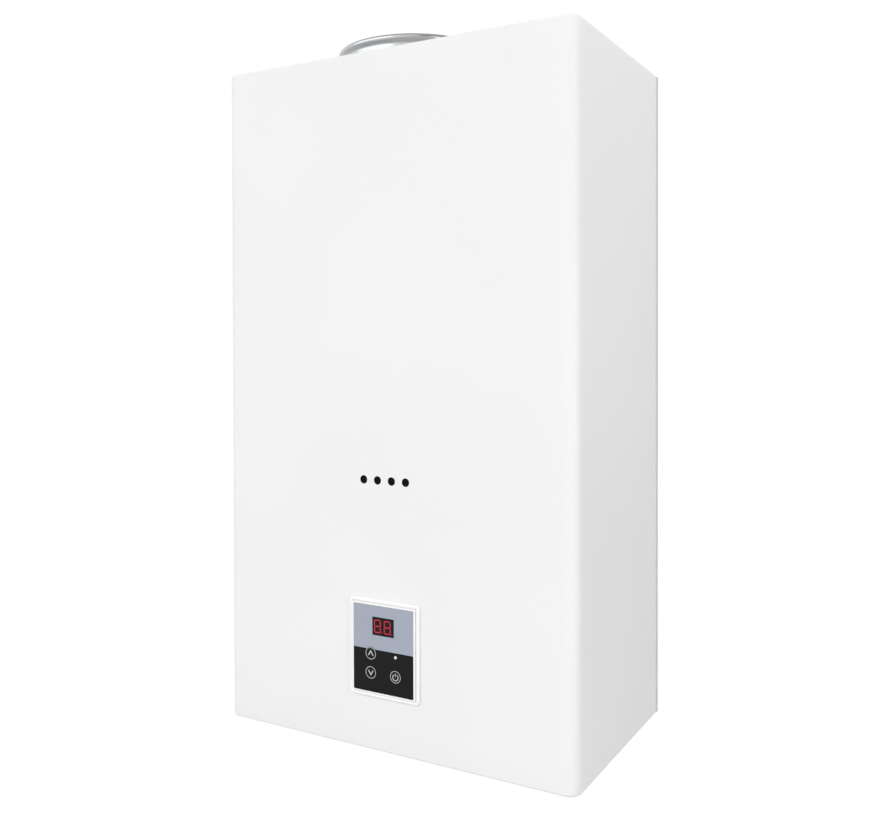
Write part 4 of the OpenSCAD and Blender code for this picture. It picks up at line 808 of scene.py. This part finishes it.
def screw_head(head_r, head_h, shank_r, shank_l, columns=64):
    """A pan-head screw, head up, seat at height 0. The head's height is an ellipse of the radius, less a
    cross recess whose depth falls off with the distance from two crossing slots."""
    angle = np.linspace(0.0, 2.0 * math.pi, columns, endpoint=False)[None]
    top_r = head_r * np.linspace(0.05, 1.0, 20)[:, None]
    x, y = np.abs(top_r * np.cos(angle)), np.abs(top_r * np.sin(angle))
    slot_w, slot_l = 0.15 * head_r, 0.56 * head_r

    def beyond_slot(along, across):
        return np.hypot(np.maximum(along - slot_l, 0.0), np.maximum(across - slot_w, 0.0))

    near = np.minimum(beyond_slot(x, y), beyond_slot(y, x))
    recess = 0.55 * head_h * np.clip(1.0 - near / (0.09 * head_r), 0.0, 1.0)
    dome = head_h * (0.45 + 0.55 * np.sqrt(np.maximum(1.0 - (top_r / head_r) ** 2, 0.0)))
    low = np.array(
        [
            (head_r, 0.12 * head_h),
            (0.96 * head_r, 0.0),
            (shank_r, 0.0),
            (shank_r, -0.9 * shank_l),
            (0.6 * shank_r, -shank_l),
        ]
    )
    low_shape = (len(low), columns)
    radius = np.concatenate([np.broadcast_to(top_r, x.shape), np.broadcast_to(low[:, :1], low_shape)])
    height = np.concatenate([dome - recess, np.broadcast_to(low[:, 1:], low_shape)])
    points = np.stack([radius * np.cos(angle), radius * np.sin(angle), height], axis=-1).reshape(-1, 3)
    start, rows = len(points), len(radius)
    points = np.concatenate([points, [(0.0, 0.0, 0.45 * head_h), (0.0, 0.0, -shank_l)]])
    faces = [
        grid_faces(rows, columns, False, True),
        pole_faces(np.arange(columns)[::-1], start),
        pole_faces((rows - 1) * columns + np.arange(columns), start + 1),
    ]
    return points, faces


def hexagon_form(low, high, corner_r):
    """Between two heights the radius follows a hexagon's side, cut back by a chamfer of about 30 degrees at
    both ends."""

    def form(radius, height, angle):
        nearest_end = np.maximum(np.minimum(height - low, high - height), 0.0)
        chamfer = corner_r * math.cos(math.pi / 6.0) + 0.2 + 1.7 * nearest_end
        inside = (height >= low - 1e-6) & (height <= high + 1e-6) & (radius > 11.0)
        return np.where(inside, np.minimum(hexagon_side(corner_r, angle), chamfer), radius)

    return form


def nipple_body(axis_x, top):
    """A half-inch pipe nipple: a right-hand thread as a rounded wave that climbs with the angle, a chamfered
    hexagon, a sealing collar and a plain barrel round the bore."""
    thread_z = np.linspace(-29.2, -8.8, 150)
    hex_z = np.array([HEX_LOW, -7.7, -7.2, -6.0, -3.6, -2.5, -2.0, HEX_HIGH])
    outer = np.concatenate(
        [
            [(NIPPLE_BORE, -30.0), (9.4, -30.0)],
            np.stack([0.0 * thread_z + THREAD_R, thread_z], axis=-1),
            [(9.3, -8.4), (9.3, HEX_LOW)],
            np.stack([0.0 * hex_z + HEX_R, hex_z], axis=-1),
            [(15.6, HEX_HIGH), (15.98, -1.3), (15.98, 0.9), (15.6, 1.3), (9.98, 1.3)],
            [(9.98, top - 0.6), (9.4, top), (7.9, top), (NIPPLE_BORE, top - 0.4)],
        ]
    )
    hexagon = hexagon_form(HEX_LOW, HEX_HIGH, HEX_R)

    def form(radius, height, angle):
        radius = hexagon(radius, height, angle)
        phase = 2.0 * math.pi * height / THREAD_PITCH - angle
        fade = np.clip((height + 29.4) / 1.2, 0.0, 1.0) * np.clip((-8.6 - height) / 1.2, 0.0, 1.0)
        groove = 1.1 * (0.5 - 0.5 * np.cos(phase)) ** 0.8
        threaded = (np.abs(radius - THREAD_R) < 1e-6) & (height < HEX_LOW)
        return np.where(threaded, radius - groove * fade - 0.5 * (1.0 - fade), radius)

    return turned(outer, axis_x, PIPE_Y, 96, form)


def drain_boss():
    """The cold nipple's side branch and its boss, turned about their own axes, with a bore from below."""
    tube = [(0.0, 9.2), (5.2, 9.2), (5.5, 9.6), (5.5, 19.0), (5.2, 19.4), (0.0, 19.4)]
    branch = turned(tube, PIPE_X, PIPE_Y, 48, along="X", closed=False)
    cup = [
        (0.0, 28.0), (7.4, 28.0), (8.0, 27.4), (8.0, 12.6), (7.4, 12.0),
        (5.4, 12.0), (5.0, 12.4), (5.0, 25.5), (0.0, 25.5),
    ]
    return gather(placed(branch, (0.0, 0.0, BRANCH_Z)), turned(cup, DRAIN_X, PIPE_Y, 64, closed=False))


def probe_boss():
    """The hot nipple's branch toward the front, turned about its own axis, that holds the outlet probe."""
    tube = [(2.5, -16.48), (5.6, -16.48), (6.0, -16.1), (6.0, -9.0), (2.5, -9.0)]
    return placed(turned(tube, -PIPE_X, PIPE_Y, 56, along="Y"), (0.0, 0.0, BRANCH_Z))


def knurled_plug():
    """The drain plug: a head with a straight knurl between chamfers, and a plain shank above it. The key
    recess is a hexagon in the head's lower face."""
    key_r = 3.0

    def form(radius, height, angle):
        fade = np.clip(np.minimum(height + 13.4, -4.6 - height) / 0.5, 0.0, 1.0)
        ridge = 0.22 * (1.0 + np.cos(KNURL_RIDGES * angle)) * fade
        radius = np.where((radius > 7.9) & (height < -4.0), radius - ridge, radius)
        return np.where(np.abs(radius - key_r) < 1e-6, hexagon_side(key_r, angle), radius)

    profile = [
        (0.0, -8.0), (key_r, -8.0), (key_r, -14.0), (7.3, -14.0), (8.0, -13.4), (8.0, -12.9),
        (8.0, -11.0), (8.0, -7.0), (8.0, -5.1), (8.0, -4.6), (7.4, -4.0), (4.9, -4.0),
        (4.9, 15.2), (4.3, 16.0), (0.0, 16.0),
    ]
    return turned(profile, DRAIN_X, PIPE_Y, 216, form, closed=False)


def hood_loft():
    """The draught hood: straight lines from a rounded rectangle to a circle, matched by outward direction.
    The inner wall repeats it further in."""
    count = 17
    spare = 0.03
    quarter = spare + np.linspace(0.0, 1.0, count) * (math.pi / 2.0 - 2.0 * spare)
    turn = np.concatenate([k * math.pi / 2.0 + quarter for k in range(4)])

    def wall(inset, share):
        corner = SHELL_CORNER - inset
        outline = rounded_outline(SHELL_HALF_W - inset, SHELL_HALF_D - inset, corner, count)
        centre_x, centre_y, normal_x, normal_y = outline
        base_x, base_y = centre_x + corner * normal_x, SHELL_Y + centre_y + corner * normal_y
        top_x = FLUE_X + (SPIGOT_R - inset) * np.cos(turn)
        top_y = FLUE_Y + (SPIGOT_R - inset) * np.sin(turn)
        x = base_x + share[:, None] * (top_x - base_x)
        y = base_y + share[:, None] * (top_y - base_y)
        z = np.broadcast_to(SHELL_TOP + HOOD_RISE * share[:, None], x.shape)
        return np.stack([x, y, z], axis=-1)

    share = np.linspace(0.0, 1.0, 24)
    points = np.concatenate([wall(0.0, share), wall(HOOD_WALL, share[::-1])])
    rows, columns = points.shape[:2]
    return points.reshape(-1, 3), [grid_faces(rows, columns, True, True)]


# Pieces

cover = make_piece(
    "cover_sheet",
    cover_sheet(),
    "powder_coat_white",
    "cover",
    ["front_cover"],
    closed=False,
)
thickness = cover.modifiers.new("sheet", "SOLIDIFY")
thickness.thickness = 0.001
thickness.offset = -1.0
make_piece(
    "bezel_frame", bezel_frame(), "white_plastic", "cover", ["panel_bezel"], sharp=50.0
)

chevron = np.array([(-2.35, -1.75), (0.0, 1.9), (2.35, -1.75)])
open_circle = circle_path((0.0, -0.3), 2.6, 125.0, 415.0, 44)
bar = np.array([(0.0, 0.2), (0.0, 1.6), (0.0, 3.0)])
up_print = key_print((-KEY_X, KEY_HIGH_Z), [(chevron, 1.0)])
down_print = key_print((-KEY_X, KEY_LOW_Z), [(-chevron, 1.0)])
power_print = key_print((KEY_X, KEY_LOW_Z), [(open_circle, 0.8), (bar, 0.8)])
make_piece("key_up_print", up_print, "key_print", "key_up")
make_piece("key_down_print", down_print, "key_print", "key_down")
make_piece("key_power_print", power_print, "key_print", "key_power")

make_piece(
    "collar_sheet", collar_sheet(), "collar_steel", "chassis", ["flue_collar"], sharp=50.0
)
collar_screw = screw_head(head_r=3.0, head_h=1.8, shank_r=1.5, shank_l=8.0)
collar_heads = gather(
    *(
        placed(collar_screw, (FLUE_X + FIXING_R * math.cos(a), FLUE_Y + FIXING_R * math.sin(a), ROOF + 1.0))
        for a in np.radians([45.0, 135.0, 225.0, 315.0])
    )
)
make_piece("collar_pan_screws", collar_heads, "zinc_screw", "chassis", ["collar_screws"])
cover_screw = screw_head(head_r=3.8, head_h=2.2, shank_r=2.0, shank_l=8.0)
cover_heads = gather(
    *(placed(cover_screw, (x, COVER_SCREW_Y, -0.3), flip=-1.0) for x in (-COVER_SCREW_X, COVER_SCREW_X))
)
make_piece("cover_pan_screws", cover_heads, "zinc_screw", "chassis", ["cover_screws"])
make_piece(
    "hood_sheet", hood_loft(), "galvanised_sheet", "chassis", ["flue_hood"], sharp=50.0
)
make_piece("gas_nipple", nipple_body(0.0, 36.0), "brass", "chassis", ["gas_inlet_nipple"])
make_piece("cold_nipple", nipple_body(PIPE_X, 40.0), "brass", "chassis", ["cold_inlet_nipple"])
make_piece("hot_nipple", nipple_body(-PIPE_X, 40.0), "brass", "chassis", ["hot_outlet_nipple"])
make_piece("cold_drain_boss", drain_boss(), "brass", "chassis")
make_piece("hot_probe_boss", probe_boss(), "brass", "chassis")
make_piece("drain_knob", knurled_plug(), "brass", "chassis", ["drain_plug"])


# Stage


def seen_rays(f):
    """1 for rays from the camera, from a glossy surface or through glass, and 0 for the rest."""
    kinds = ("Camera", "Glossy", "Transmission")
    camera, glossy, through = (f.node("ShaderNodeLightPath", out=f"Is {kind} Ray") for kind in kinds)
    return camera.greatest(glossy).greatest(through)


def floor_sheet():
    """A flat square of 12 m, 1.2 m below the hanging holes, seen as white and bouncing light as a grey."""
    half, drop, lines = 6.0, 1.2, 7
    span = np.linspace(-half, half, lines)
    x, y = np.meshgrid(span, span)
    points = np.stack([x, y, 0.0 * x - drop], axis=-1).reshape(-1, 3)
    mesh = bpy.data.meshes.new("floor")
    mesh.from_pydata(points.tolist(), [], grid_faces(lines, lines).tolist())
    floor = bpy.data.objects.new("floor", mesh)
    bpy.context.scene.collection.objects.link(floor)
    material, f = new_finish("floor_paint")
    matt = f.node("ShaderNodeBsdfDiffuse", None, {"Color": (0.45, 0.45, 0.465)})
    glow = f.node("ShaderNodeEmission", None, {"Color": (1.0, 1.0, 1.0), "Strength": 1.235})
    surface = f.node("ShaderNodeMixShader", None, {0: 0.75 * seen_rays(f), 1: matt, 2: glow})
    f.node("ShaderNodeOutputMaterial", None, {"Surface": surface})
    mesh.materials.append(material)


def white_world(level):
    """White where it is seen, mirrored or looked through, and a plain soft level for the light it gives."""
    world = bpy.data.worlds.new("studio")
    world.use_nodes = True
    bpy.context.scene.world = world
    f = Finish(world.node_tree)
    strength = level + (1.0 - level) * seen_rays(f)
    sky = f.node("ShaderNodeBackground", None, {"Color": (1.0, 1.0, 1.0), "Strength": strength})
    f.node("ShaderNodeOutputWorld", None, {"Surface": sky})


def soft_box(name, place, target, width, height, power, mirrored=False):
    """A rectangular lamp aimed at a point. Only a mirrored one shows in glossy surfaces."""
    lamp = bpy.data.lights.new(name, "AREA")
    lamp.shape = "RECTANGLE"
    lamp.size, lamp.size_y, lamp.energy = width, height, power
    light = bpy.data.objects.new(name, lamp)
    light.location = place
    light.visible_glossy = mirrored
    light.rotation_euler = (Vector(target) - Vector(place)).to_track_quat("-Z", "Y").to_euler()
    bpy.context.scene.collection.objects.link(light)


def far_key(place, spread, strength):
    """A lamp far away toward a place, as wide as the spread in degrees, even over the whole part."""
    lamp = bpy.data.lights.new("far_key", "SUN")
    lamp.angle = math.radians(spread)
    lamp.energy = strength
    light = bpy.data.objects.new("far_key", lamp)
    light.visible_glossy = False
    light.rotation_euler = Vector(place).to_track_quat("Z", "Y").to_euler()
    bpy.context.scene.collection.objects.link(light)


def grey_card(x, y, z):
    """An upright card beside the part that shows only in glossy surfaces, as the dim end of the studio."""
    points = [(x, y[0], z[0]), (x, y[1], z[0]), (x, y[1], z[1]), (x, y[0], z[1])]
    mesh = bpy.data.meshes.new("grey_card")
    mesh.from_pydata(points, [], [(0, 1, 2, 3)])
    card = bpy.data.objects.new("grey_card", mesh)
    bpy.context.scene.collection.objects.link(card)
    material, f = new_finish("card_paint")
    paint = f.node("ShaderNodeEmission", None, {"Color": (0.34, 0.34, 0.35), "Strength": 1.0})
    f.node("ShaderNodeOutputMaterial", None, {"Surface": paint})
    mesh.materials.append(material)
    card.visible_camera = card.visible_diffuse = card.visible_transmission = card.visible_shadow = False


def photo_camera():
    """The camera from its place, turn, tilt and roll; its matrix columns are right, up and backward."""
    place = Vector((0.43694, -0.884, -0.20845))
    turn, tilt, roll = 0.5262, 0.0112, -0.00225
    right = Vector((math.cos(turn), math.sin(turn), 0.0))
    ahead = Vector((-math.sin(turn) * math.cos(tilt), math.cos(turn) * math.cos(tilt), -math.sin(tilt)))
    up = right.cross(ahead)
    across = right * math.cos(roll) + up * math.sin(roll)
    upward = up * math.cos(roll) - right * math.sin(roll)
    camera = bpy.data.cameras.new("camera")
    camera.sensor_width = 36.0
    camera.lens = 39.103
    camera.shift_x = 0.0198
    camera.shift_y = -0.06
    camera.clip_start = 0.01
    seat = bpy.data.objects.new("camera", camera)
    columns = (across, upward, -ahead, place)
    seat.matrix_world = Matrix([[c[k] for c in columns] for k in range(3)] + [[0.0, 0.0, 0.0, 1.0]])
    bpy.context.scene.collection.objects.link(seat)
    bpy.context.scene.camera = seat


floor_sheet()
white_world(level=0.54)
far_key((-0.15, -1.0, 1.0), spread=20.0, strength=0.65)
soft_box("key_box", (0.95, -2.8, -0.75), (0.0, -0.1, -0.35), width=1.8, height=1.8, power=18.5)
soft_box("fill_box", (-1.8, -1.9, -0.85), (-0.05, -0.15, -0.45), width=1.4, height=1.2, power=9.5)
soft_box("broad_box", (-1.3, -2.1, 0.5), (-0.02, -0.1, -0.1), width=3.0, height=0.9, power=9.5, mirrored=True)
soft_box("side_box", (0.95, 0.0, 0.85), (0.17, -0.1, 0.0), width=0.6, height=0.6, power=3.2)
soft_box(
    "strip_box", (1.35, -0.7, -0.22), (0.17, -0.15, -0.22), width=0.35, height=1.0, power=4.8, mirrored=True
)
grey_card(x=1.5, y=(-2.2, 0.5), z=(-0.2, 1.4))
photo_camera()
bpy.context.scene.view_settings.view_transform = "Standard"
